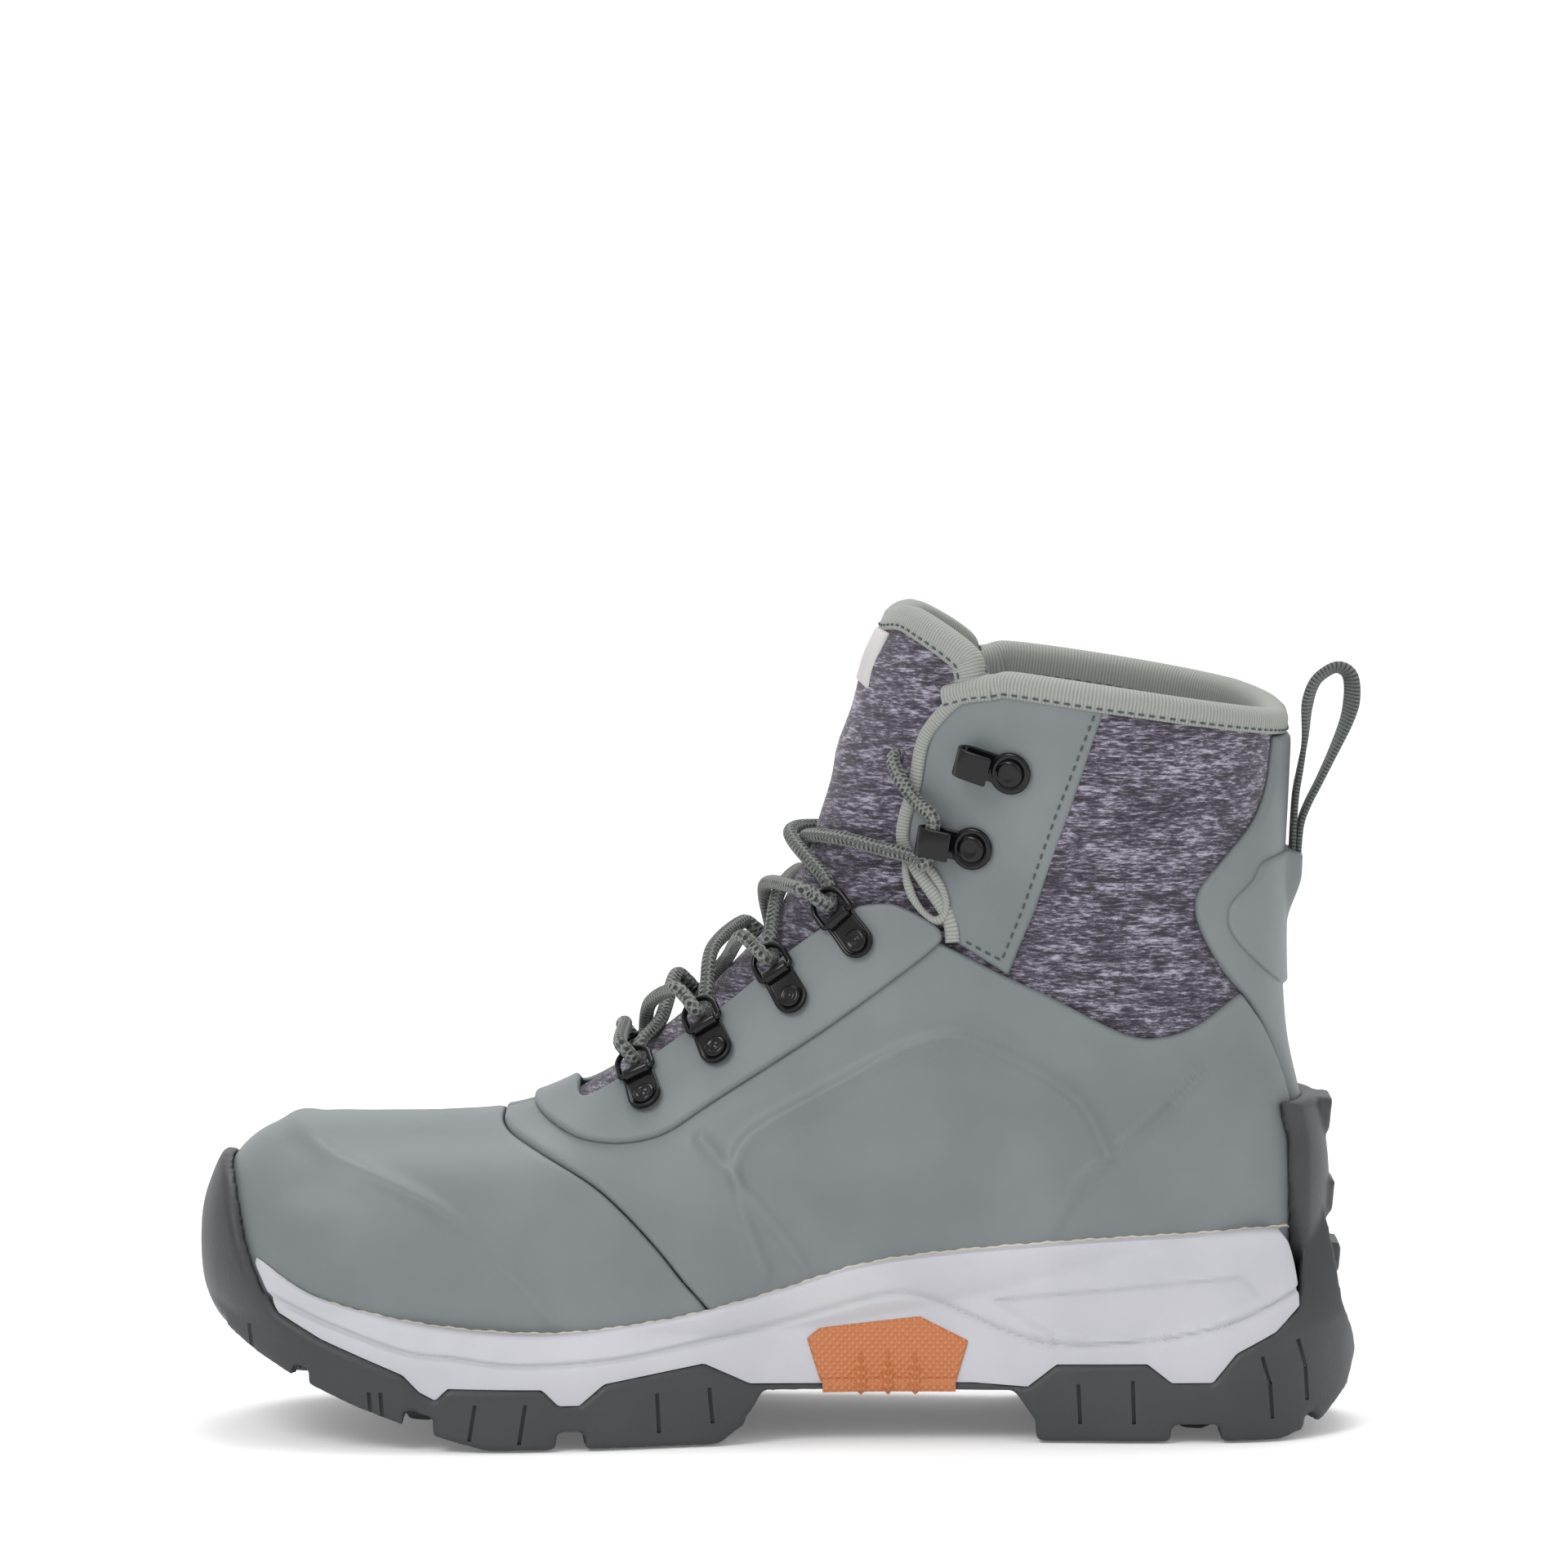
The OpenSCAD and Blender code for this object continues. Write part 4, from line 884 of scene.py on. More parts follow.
def stitches(name, path, normals, length=1.7, gap=1.1, radius=0.33, lift=0.1, material=None):
    pts = np.asarray(path, float)
    total = np.concatenate([[0], np.cumsum(np.linalg.norm(np.diff(pts, axis=0), axis=1))])
    centres = np.arange(gap, total[-1] - length / 2, length + gap)
    at = np.stack([np.interp(centres, total, pts[:, k]) for k in range(3)], -1)
    nrm = unit(np.stack([np.interp(centres, total, np.asarray(normals)[:, k]) for k in range(3)], -1))
    ahead = np.stack([np.interp(centres + 0.3, total, pts[:, k]) for k in range(3)], -1)
    along = unit(ahead - at)
    side = unit(np.cross(along, nrm))
    nrm = np.cross(side, along)
    rings = [(-0.5, 0.0), (-0.42, 0.8), (0, 1.0), (0.42, 0.8), (0.5, 0.0)]
    verts, faces = [], []
    for c, n, s, h in zip(at, nrm, side, along):
        base = len(verts)
        for place, size in rings:
            if size == 0:
                verts.append(c + place * length * h + (lift - 0.25) * n)
                continue
            for k in range(6):
                w = k * math.pi / 3
                verts.append(c + place * length * h + radius * size * (math.cos(w) * s + math.sin(w) * n) + lift * n)
        for k in range(6):
            q = (k + 1) % 6
            faces.append((base, base + 1 + q, base + 1 + k))
            for r in range(2):
                lo, hi = base + 1 + 6 * r, base + 7 + 6 * r
                faces.append((lo + k, lo + q, hi + q, hi + k))
            faces.append((base + 13 + k, base + 13 + q, base + 19))
    piece = new_object(name, np.array(verts), faces, np.array(verts)[:, :2])
    tidy(piece)
    return dress(piece, material or thread)


# %% Collar binding
COLLAR_OUTLINE = np.vstack([[[20, 190], [49, 199.5]], COLLAR_LINE, [[170, 184], [170, 0], [-170, 0], [-170, 150]]])
turns = np.concatenate([np.linspace(47, 90, 60), np.linspace(91, 269, 150), np.linspace(270, 313, 60)])
u_c, a_c = edge_on_last(COLLAR_OUTLINE, 0, turns, 12, LAST_STATION, OUTER_LIFT)
rim = last_points(u_c, a_c)
rim_normals = outward(u_c, a_c)
along, out, up = directions(rim, rim_normals)
up *= np.sign(up[:, 2:3])
rim = rim - 1.6 * up
over_flap = np.clip((96 - rim[:, 0]) / 12, 0, 1)
over_flap = over_flap**2 * (3 - 2 * over_flap) * 1.25
tape = np.array([[0.35, -5.0], [1.2, -5.0], [1.5, -3.5], [1.55, -1.4], [1.0, 0.3], [-0.2, 1.3], [-2, 1.75], [-4, 1.6],
                 [-5.6, 0.8], [-6.5, -0.8], [-6.75, -3], [-6.6, -6], [-6.3, -8], [-5.7, -8], [-5.2, -5.5],
                 [-3, -3.5], [-1, -3.5]])
tape = np.repeat(tape[None], len(rim), axis=0)
tape[:, :6, 0] += over_flap[:, None] * np.array([1, 1, 1, 1, 0.8, 0.3])
collar = dress(sweep("collar binding", rim, out, up, tape), binding_tape,
               replaces=["collar_binding"])
stitches("collar stitches", rim + (1.45 + over_flap[:, None]) * out - 4.0 * up, out)
stitches("inner collar stitches", rim - 6.65 * out - 6.4 * up, -out)


# %% Tongue binding
turns = np.linspace(66, -66, 150)
u_t, a_t = edge_on_last(np.vstack([[[0, 100]], [[60, 150]], TONGUE_TOP, [[0, 218]]]), -0.3, turns, 15, LAST_STATION)
tip_line = on_last(u_t, a_t, np.full(u_t.shape, -0.3))
along, out, up = directions(tip_line, outward(u_t, a_t))
up *= np.sign(up[:, 2:3])
tip_line = tip_line - 1.7 * up
tape = np.array([[0.3, -6.8], [0.9, -6.8], [1.15, -5], [1.2, -2], [0.5, -0.4], [-0.8, 0.4], [-2.6, 0.6], [-4.3, 0.3],
                 [-5.6, -0.8], [-6.1, -3], [-6.0, -6], [-5.5, -6.8], [-5.0, -5], [-2.5, -3.5], [-0.2, -5]])
dress(sweep("tongue binding", tip_line, out, up, tape), binding_tape,
      replaces=["tongue_binding"])
stitches("tongue binding stitches", tip_line + 1.1 * out - 5.6 * up, out)
print("tongue edge from", tip_line[0].round(1), "over", tip_line[len(tip_line) // 2].round(1))


# %% [markdown]
# Each flap has a tape down its front edge that ends in a small drop-shaped loop, and a line of
# stitches inside its rear and bottom edges.

# %% Flap bindings and stitches
front_line = even_line(FLAP_FRONT, 1.0)
LOOP = curve([[32.6, 152.6], [32.7, 147.5], [34.2, 142], [37.3, 137.6], [40.6, 135.6], [43, 137.6], [42.8, 142.3],
              [40, 147.5], [36, 151.8], [34, 153.6], [32.6, 152.6]], 8)
for side in ("medial", "lateral"):
    u, a = find_on_last(front_line, 2.0, side)
    base = last_points(u, a)
    along, out, up = directions(base, outward(u, a))
    up *= np.where(up[:, :1] < 0, 1, -1)
    tape = np.array([[0.1, -3.4], [2.3, -3.5], [2.85, -3.1], [3.1, -1.8], [2.95, -0.5], [2.3, 0.25], [1.2, 0.45],
                     [0.1, 0.2]])
    dress(sweep(f"flap binding {side}", base, out, up, tape), binding_tape,
          replaces=[f"flap_binding_{side}"])
    u, a = find_on_last(LOOP[:-1], 2.4, side)
    base = last_points(u, a)
    normal = outward(u, a)
    middle = base.mean(axis=0)
    inward = unit(middle - base)
    inward = unit(inward - (inward * normal).sum(axis=1)[:, None] * normal)
    hoop = np.array([[2.1, -1.0], [3.1, -1.1], [3.6, -0.4], [3.6, 0.5], [3.1, 1.2], [2.1, 1.1]])
    dress(sweep(f"flap loop {side}", base, normal, inward, hoop, closed=True), binding_tape)
    u, a = find_on_last(even_line([[81, 190.5], [71.2, 164], [62.6, 138.6], [57.4, 125.6], [46, 131.4]], 0.8), 2.2, side)
    stitches(f"flap stitches {side}", on_last(u, a, np.full(u.shape, 2.15)), outward(u, a))


# %% Patch on the tongue
def last_frame(u, a, lift, turn=0.0, side="medial"):
    """Origin and axes of a piece on the last: x toward the throat, y up the boot, z outward."""
    angle = a if side == "medial" else 360 - a
    z = outward(np.array([u]), np.array([angle]))[0]
    round_it = (last_points(u, angle + 2) - last_points(u, angle - 2))
    x = unit((-1 if side == "medial" else 1) * round_it)
    y = unit(np.cross(z, x))
    p = last_points(u, angle) + lift * z
    w = math.radians(turn if side == "medial" else -turn)
    return p, math.cos(w) * x + math.sin(w) * y, -math.sin(w) * x + math.cos(w) * y, z


def place(local, at):
    p, x, y, z = at
    local = np.asarray(local, float)
    return p + local[:, :1] * x + local[:, 1:2] * y + local[:, 2:3] * z


PATCH = np.array([[0, 187], [60, 187], [60, 205], [0, 205]], float)
rows_p = np.linspace(0, 1, 28)
turns_p = np.linspace(-16, 16, 30)
patch_u = np.interp(rows_p, [0, 1], [17.9, 20.0])
grid_u, grid_a = np.meshgrid(patch_u, turns_p, indexing="ij")
edge = np.minimum(np.minimum(rows_p, 1 - rows_p)[:, None] * 18, (16 - np.abs(turns_p))[None] * 0.6)
swell_p = 0.55 + 0.85 * rounded(edge, 0.8)
top = on_last(grid_u, grid_a, swell_p)
under = on_last(grid_u, grid_a, np.full(grid_u.shape, -0.2))
k = grid_u.size
index = np.arange(k).reshape(grid_u.shape)
quads = np.stack([index[:-1, :-1], index[1:, :-1], index[1:, 1:], index[:-1, 1:]], -1).reshape(-1, 4)
ring = np.concatenate([index[0, :-1], index[:-1, -1], index[-1, :0:-1], index[:0:-1, 0]])
walls = np.stack([ring, np.roll(ring, -1), np.roll(ring, -1) + k, ring + k], -1)
patch = new_object("tongue patch", np.vstack([top.reshape(-1, 3), under.reshape(-1, 3)]),
                   np.vstack([quads, quads[:, ::-1] + k, walls]))
tidy(patch)
patch_film = moulded("patch film", (0.40, 0.38, 0.38), (0.52, 0.50, 0.50), 0.45, 700.0, 0.15)
dress(patch, patch_film, replaces=["tongue_patch"])
print("patch", len(patch.data.polygons), "faces")


# %% [markdown]
# ## Sole
# The sole is drawn as sections across the boot. At each station along it the outline from above gives
# the width and the side view gives top and bottom. The wall leans in toward the top, with a groove
# and a soft top edge. The last is then cut away, so that the sole cups the upper.

# %% Sole sections
plan = []
for i in range(len(SOLE_PLAN)):
    p0, p1, p2, p3 = (SOLE_PLAN[(i + k) % len(SOLE_PLAN)] for k in (-1, 0, 1, 2))
    plan += [spline(p0, p1, p2, p3, k / 8) for k in range(8)]
plan = np.array(plan)


def half_width(x, side, inset=0.0):
    """Width of the plan on one side at x, and the slope of the outline there."""
    half = plan[plan[:, 1] < 0] if side == "medial" else plan[plan[:, 1] >= 0]
    half = half[np.argsort(half[:, 0])]
    shrink = 1 - 2 * inset / 305
    y = np.interp(x, half[:, 0] * shrink, np.abs(half[:, 1]) * (1 - 2 * inset / 110))
    y1 = np.interp(x + 0.5, half[:, 0] * shrink, np.abs(half[:, 1]))
    y0 = np.interp(x - 0.5, half[:, 0] * shrink, np.abs(half[:, 1]))
    return y, y1 - y0


def line_z(line, x):
    order = np.argsort(line[:, 0])
    return np.interp(x, line[order, 0], line[order, 1])


def reach_table(t, side):
    """How far the last reaches sideways at each x and z of its lower half, on cells of 1 mm."""
    a = np.linspace(0, 180, 700)
    u = np.linspace(0.02, 17, 900)
    U, A = np.meshgrid(u, a if side == "medial" else 360 - a, indexing="ij")
    p = on_last(U, A, np.full(U.shape, t)).reshape(-1, 3)
    table = np.zeros((321, 101))
    i = np.clip(np.round(p[:, 0] + 160).astype(int), 0, 320)
    j = np.clip(np.round(p[:, 2]).astype(int), 0, 100)
    np.maximum.at(table, (i, j), np.abs(p[:, 1]))
    for _ in range(2):
        spread = np.maximum.reduce([np.roll(table, k, axis) for k in (-1, 1) for axis in (0, 1)])
        table = np.where(table == 0, spread, table)
    return table


REACH = {side: reach_table(2.3, side) for side in ("medial", "lateral")}


def reach(x, z, side):
    table = REACH[side]
    fx, fz = np.clip(x + 160, 0, 319.9), np.clip(z, 0, 99.9)
    i, j = fx.astype(int), fz.astype(int)
    s, t = fx - i, fz - j
    return ((1 - s) * (1 - t) * table[i, j] + s * (1 - t) * table[i + 1, j]
            + (1 - s) * t * table[i, j + 1] + s * t * table[i + 1, j + 1])


def last_solid(t, step=3.0):
    rows = np.linspace(0, LAST_STATION, 150)
    turns = np.arange(0, 360, 3.0)
    U, A = np.meshgrid(rows, turns, indexing="ij")
    p = on_last(U, A, np.full(U.shape, t)).reshape(-1, 3)
    m = len(turns)
    i, j = np.meshgrid(np.arange(len(rows) - 1), np.arange(m), indexing="ij")
    q = (j + 1) % m
    faces = np.stack([i * m + j, i * m + q, (i + 1) * m + q, (i + 1) * m + j], -1).reshape(-1, 4).tolist()
    faces += [list(range(m)), list(range((len(rows) - 1) * m, len(rows) * m))]
    piece = new_object("last", p, faces)
    tidy(piece)
    return piece


def cut_away(piece, tool):
    cutter = piece.modifiers.new("cut", "BOOLEAN")
    cutter.object = tool
    cutter.operation = "DIFFERENCE"
    cutter.solver = "MANIFOLD"
    bpy.context.view_layer.objects.active = piece
    bpy.ops.object.select_all(action="DESELECT")
    piece.select_set(True)
    bpy.ops.object.modifier_apply(modifier="cut")
    bpy.data.objects.remove(tool, do_unlink=True)


def remesh(piece, size, smooth=2):
    voxels = piece.modifiers.new("voxels", "REMESH")
    voxels.mode = "VOXEL"
    voxels.voxel_size = size * MM
    voxels.use_smooth_shade = True
    soften = piece.modifiers.new("soften", "SMOOTH")
    soften.iterations = smooth
    soften.factor = 0.5
    bpy.context.view_layer.objects.active = piece
    bpy.ops.object.select_all(action="DESELECT")
    piece.select_set(True)
    bpy.ops.object.modifier_apply(modifier="voxels")
    bpy.ops.object.modifier_apply(modifier="soften")


def join(pieces, name):
    bpy.ops.object.select_all(action="DESELECT")
    for piece in pieces:
        piece.select_set(True)
    bpy.context.view_layer.objects.active = pieces[0]
    bpy.ops.object.join()
    pieces[0].name = piece_name(name)
    return pieces[0]


# %% Midsole
GROOVE = curve([[-133.5, 38.5], [-119.5, 32.7], [-98, 25.5], [-85.1, 24], [-67.9, 21.9], [-42.1, 23], [-18.5, 27.3],
                [0.9, 31.6], [26.7, 38.5], [39.6, 37], [67.5, 25.8], [95.5, 26.2], [117, 30.5], [136.3, 39.1]])
RECESS = np.array([[55.5, 37], [120, 43], [125, 38], [112, 31], [96, 27.5], [71, 27.5]], float)


def midsole_offset(x, z, top):
    """How far the wall lies inside the plan outline."""
    p = np.stack([x, z], -1)
    below = np.clip(top - z, 0, 12)
    lean = 2.6 * (1 - below / 12) ** 1.6
    edge = 1.5 - np.sqrt(np.maximum(1.5**2 - np.clip(1.5 - below, 0, 1.5) ** 2, 0))
    groove = 1.1 * np.exp(-((line_distance(p, GROOVE) / 0.7) ** 2))
    panel_depth = depth_inside(p, RECESS)
    recess = 1.0 * np.clip(panel_depth / 1.0 + 0.5, 0, 1)
    return 1.5 + lean + edge + groove + recess


def wall_block(name, xs, low, high, offset, heights=44, rim=None, pinch=None):
    """A block whose side walls follow the plan outline with a shaped offset."""
    rings = []
    for side, sign in (("medial", -1), ("lateral", 1)):
        y, slope = half_width(xs, side)
        normal = unit(np.stack([-slope, np.full(len(xs), 1.0)], -1))
        z = low[:, None] + (high - low)[:, None] * np.linspace(0, 1, heights)[None]
        X = np.repeat(xs[:, None], heights, axis=1)
        off = offset(X.ravel(), z.ravel(), np.repeat(high[:, None], heights, axis=1).ravel()).reshape(X.shape)
        off = np.minimum(off, y[:, None] - 0.5)
        wall = y[:, None] - off * normal[:, 1:2]
        if rim is not None:
            edge = np.clip(high[:, None] - z, 0, 1.6)
            stand = rim * np.sqrt(np.maximum(1 - (1 - edge / 1.6) ** 2, 0))
            floor_y = reach(X.ravel(), z.ravel(), side).reshape(X.shape) + stand
            floor_y = floor_y - 0.8 * np.exp(-((line_distance(np.stack([X.ravel(), z.ravel()], -1), GROOVE) / 0.8) ** 2)
                                             ).reshape(X.shape)
            blend = np.clip((floor_y - wall) / 1.2 + 0.5, 0, 1)
            wall = wall + (floor_y - wall) * blend + 0.6 * blend * (1 - blend)
        if pinch is not None:
            wall = wall * pinch(X, z)
        rings.append(np.stack([X - off * normal[:, :1], sign * wall, z], -1))
    loop = np.concatenate([rings[0], rings[1][:, ::-1]], axis=1)
    n, m = loop.shape[:2]
    i, j = np.meshgrid(np.arange(n - 1), np.arange(m), indexing="ij")
    q = (j + 1) % m
    faces = np.stack([i * m + j, i * m + q, (i + 1) * m + q, (i + 1) * m + j], -1).reshape(-1, 4).tolist()
    faces += [list(range(m)), list(range((n - 1) * m, n * m))]
    piece = new_object(name, loop.reshape(-1, 3), faces)
    tidy(piece)
    return piece


xs = np.linspace(-138.7, 136.3, 330)
midsole = wall_block("midsole", xs, line_z(SOLE_FLOOR, xs), np.maximum(line_z(SOLE_EDGE, xs), line_z(SOLE_FLOOR, xs) + 0.3),
                     midsole_offset, rim=1.7)
cut_away(midsole, last_solid(2.3))
bpy.ops.object.shade_smooth_by_angle(angle=math.radians(40))
dress(midsole, midsole_foam, replaces=["midsole"])
print("midsole", len(midsole.data.polygons), "faces")


# %% Glue line where the midsole meets the cage
glue = moulded("glue", (0.42, 0.38, 0.32), (0.55, 0.51, 0.45), 0.7, 700.0, 0.3)
for side in ("medial", "lateral"):
    line = even_line(SOLE_EDGE[4:-8], 1.0)
    u, a = find_on_last(line, 2.3, side)
    base = on_last(u, a, np.full(u.shape, 2.2))
    along, out, up = directions(base, outward(u, a))
    wander = 0.16 * np.sin(line[:, 0] * 1.7) + 0.12 * np.sin(line[:, 0] * 0.61)
    w = np.linspace(0, 2 * math.pi, 6, endpoint=False)
    bead = 0.42 * np.stack([np.cos(w), np.sin(w)], -1)
    dress(sweep(f"glue {side}", base + wander[:, None] * up, out, up, bead), glue)


# %% [markdown]
# The outsole is one moulding: a plate, the lugs under it, a bumper over the toe and another behind
# the heel. The parts overlap and a fine voxel remesh welds them, which also rounds every edge.

# %% Outsole plate, bumpers and lugs
FLOOR_TOP = np.vstack([[[-152.4, 42], [-145, 46]], SOLE_FLOOR[::-1],
                       [[137.2, 46], [138.2, 62], [141.5, 66], [143.8, 58.5], [146, 47.7], [148.1, 34.8],
                        [151.4, 26.1], [152.4, 19.7]]])
PLATE_LOW = np.array([[-152.4, 42], [-149.5, 35], [-144.5, 31.5], [-137, 27.2], [-126, 22.2], [-110, 15.6],
                      [-92, 9.4], [-76, 4.8], [-16, 4.5], [-8, 8], [-4.5, 14], [61, 13.2], [67, 4.5], [131, 4.5], [142.5, 7],
                      [149.5, 13], [152.4, 21]], float)
TREAD_LOW = np.array([[-152.4, 42], [-149.5, 34], [-144.5, 29], [-137, 24], [-126, 18], [-110, 11], [-92, 4.5],
                      [-76, 0], [-16, 0], [-8, 6], [-4.5, 14.5], [61, 13.4], [67, 0], [131, 0], [142.5, 4],
                      [149.5, 11], [152.4, 21]], float)
SIPES = [[[-150, 33], [-146, 32]], [[-138.2, 31], [-137, 22]], [[-106.5, 15], [-105.8, 7]], [[-103.5, 15], [-102.8, 7]], [[-79, 12], [-80.5, 3]],
         [[-66, 12], [-67.6, 2]], [[-32, 14], [-31.5, 4]], [[-18.5, 15], [-17.6, 6]], [[77.5, 15], [78, 5]],
         [[91.6, 16], [92, 5]], [[125.5, 22], [127.5, 15], [128.2, 6]], [[135, 26], [137, 19], [137.6, 10]]]


def outsole_offset(x, z, top):
    below = np.clip(top - z, 0, 3)
    shoulder = 3 - np.sqrt(np.maximum(9 - np.clip(3 - below, 0, 3) ** 2, 0))
    return 0.2 + 0.5 * shoulder


xs = np.linspace(-151.9, 151.9, 420)
low = line_z(PLATE_LOW, xs)


def heel_pinch(x, z):
    """The part behind the heel narrows upwards to the width of the bumper."""
    return 1 - 0.42 * np.clip((x - 134) / 3, 0, 1) * np.clip((z - 30) / 26, 0, 1)


plate = wall_block("plate", xs, low, np.maximum(line_z(FLOOR_TOP, xs), low + 0.6), outsole_offset, 40,
                   pinch=heel_pinch)
cut_away(plate, last_solid(2.3))
TOE_CAP = np.array([[-170, 74.5], [-146.4, 74.5], [-144.3, 69], [-142.5, 60.5], [-141, 54], [-138.9, 48],
                    [-134.6, 37.8], [-131.4, 30], [-170, 20]], float)
HEEL_CAP = np.array([[133.5, 88], [141, 88.5], [170, 80], [170, 22], [128, 22], [136.6, 36], [136.6, 50],
                     [136, 78]], float)
toe_cap = panel("toe cap", TOE_CAP, 2.3, 5.4, rim=2.0, step=0.8)
heel_cap = panel("heel cap", HEEL_CAP, 2.3, 7.2, rim=2.4, step=0.8)


def lug(cx, cy, length, width, turn, z0, z1):
    """A tapered block with a flat foot."""
    c, s = math.cos(math.radians(turn)), math.sin(math.radians(turn))
    points = []
    for z, grow in ((z1, 0.7), (z0 + 0.9, 0.0), (z0, -0.7)):
        for px, py in ((-1, -1), (1, -1), (1, 1), (-1, 1)):
            lx, ly = px * (length / 2 + grow), py * (width / 2 + grow)
            points.append([cx + c * lx - s * ly, cy + s * lx + c * ly, z])
    faces = [(3, 2, 1, 0), (8, 9, 10, 11)]
    for r in (0, 4):
        faces += [(r + k, r + (k + 1) % 4, r + 4 + (k + 1) % 4, r + 4 + k) for k in range(4)]
    block = new_object("lug", np.array(points), faces, smooth=False)
    tidy(block)
    return block


blocks = []
RIM_LUGS = [(-145, -126), (-122.5, -111.6), (-110.6, -97.3), (-90, -57.4), (-50.6, -9), (66.5, 102.4), (114.8, 137.5),
            (140.5, 151)]


def rim_lug(start, end, side, sign):
    """A stretch of the tread's rim: its outer face carries on from the wall above."""
    xs = np.arange(start, end + 0.01, 0.8)
    y, slope = half_width(xs, side)
    normal = unit(np.stack([-slope, np.ones(len(xs))], -1))
    low = line_z(TREAD_LOW, xs)
    top = line_z(PLATE_LOW, xs) + 2.5
    heights = np.linspace(0, 1, 9)
    z = low[:, None] + (top - low)[:, None] * heights[None]
    off = outsole_offset(np.repeat(xs, 9), z.ravel(), np.repeat(top + 9, 9)).reshape(z.shape)
    off[:, 0] += 0.7
    outer = np.stack([xs[:, None] - off * normal[:, :1], sign * (y[:, None] - off * normal[:, 1:2]), z], -1)
    back = np.minimum(13.5, y - 1.5)
    inner = [np.stack([xs - back * normal[:, 0] * 0.4, sign * (y - back), h], -1) for h in (top, low + 0.6)]
    loop = np.concatenate([outer, np.stack(inner, axis=1)], axis=1)
    n, m = loop.shape[:2]
    i, j = np.meshgrid(np.arange(n - 1), np.arange(m), indexing="ij")
    q = (j + 1) % m
    faces = np.stack([i * m + j, i * m + q, (i + 1) * m + q, (i + 1) * m + j], -1).reshape(-1, 4).tolist()
    faces += [list(range(m)), list(range((n - 1) * m, n * m))]
    piece = new_object("rim lug", loop.reshape(-1, 3), faces)
    tidy(piece)
    return piece


for start, end in RIM_LUGS:
    for side, sign in (("medial", -1), ("lateral", 1)):
        blocks.append(rim_lug(start, end, side, sign))
for cx in np.concatenate([np.arange(-122, -22, 16.0), np.arange(81, 132, 15.0)]):
    y = float(half_width(np.array([cx]), "medial")[0][0])
    floor_z = float(line_z(TREAD_LOW, cx))
    for sign in (-1, 1):
        blocks.append(lug(cx, sign * (y - 16) * 0.5, 7.5, max(y * 0.42, 9), sign * 24, floor_z + 0.2, floor_z + 8))
for z, height in ((82, 9.5), (60, 8.5), (44, 8)):
    x = {82: 141.8, 60: 142.6, 44: 144.4}[z]
    blocks.append(lug(x, 0, 5.6, 17, 0, z - height / 2, z + height / 2))
outsole = join([plate, toe_cap, heel_cap] + blocks, "outsole")
remesh(outsole, 1.0, 2)
knives = []
for sipe in SIPES:
    for side, sign in (("medial", -1), ("lateral", 1)):
        for (x0, z0), (x1, z1) in zip(sipe[:-1], sipe[1:]):
            y = float(half_width(np.array([(x0 + x1) / 2]), side)[0][0])
            along = np.array([x1 - x0, z1 - z0]) / math.hypot(x1 - x0, z1 - z0)
            wide = 0.5 * np.array([-along[1], along[0]])
            ends = [np.array([x0, z0]) - 0.2 * along, np.array([x1, z1]) + 0.2 * along]
            corners = [ends[0] + wide, ends[1] + wide, ends[1] - wide, ends[0] - wide]
            points = [[c[0], sign * (y + d), c[1]] for d in (-1.6, 4) for c in corners]
            knife = new_object("knife", np.array(points), [(0, 1, 2, 3), (7, 6, 5, 4)] + [
                (k, (k + 1) % 4, 4 + (k + 1) % 4, 4 + k) for k in range(4)], smooth=False)
            tidy(knife)
            knives.append(knife)
    if len(sipe) == 3:
        print("bent sipe at", sipe[0][0])
cut_away(outsole, join(knives, "knives"))
bpy.ops.object.shade_smooth_by_angle(angle=math.radians(45))
dress(outsole, outsole_rubber, replaces=["outsole"])
print("outsole", len(outsole.data.polygons), "faces")


# %% [markdown]
# The arch stabiliser is a block of orange plastic in the waist, with a diamond knurl and three
# pointed ribs. A pair of crossing waves in the side view makes the knurl.

# %% Arch stabiliser
arch_tpu, tree, shader = new_material("arch plastic", (0.54, 0.185, 0.068), 0.42)
diagonals = []
for angle in (0.75, -0.75):
    wave = add(tree, "ShaderNodeTexWave", Scale=1.0, bands_direction="X")
    tree.links.new(coordinates(tree, (215, 0, 215), "Object", (0, angle, 0)), wave.inputs["Vector"])
    diagonals.append(wave.outputs["Fac"])
knurl = add(tree, "ShaderNodeMath", operation="MULTIPLY")
tree.links.new(diagonals[0], knurl.inputs[0])
tree.links.new(diagonals[1], knurl.inputs[1])
# The colour is darker in the knurl's grooves, where the bump is low: painted shade in the grooves.
tree.links.new(two_tone(tree, knurl.outputs[0], (0.44, 0.145, 0.052), (0.60, 0.21, 0.078), 0.0, 0.45),
               shader.inputs["Base Color"])
bump = add(tree, "ShaderNodeBump", Strength=0.8, Distance=0.0006)
tree.links.new(knurl.outputs[0], bump.inputs["Height"])
tree.links.new(bump.outputs["Normal"], shader.inputs["Normal"])
BLOCK = np.array([[7.1, 27.3], [10.3, 29.9], [36.3, 32.7], [48.8, 26.2], [45.8, 15.8], [10.6, 15.8]], float)


def arch_offset(x, z, top):
    p = np.stack([x, z], -1)
    return 0.5 + 0.9 * (1 - rounded(np.clip(depth_inside(p, BLOCK), 0, 2), 1.6))


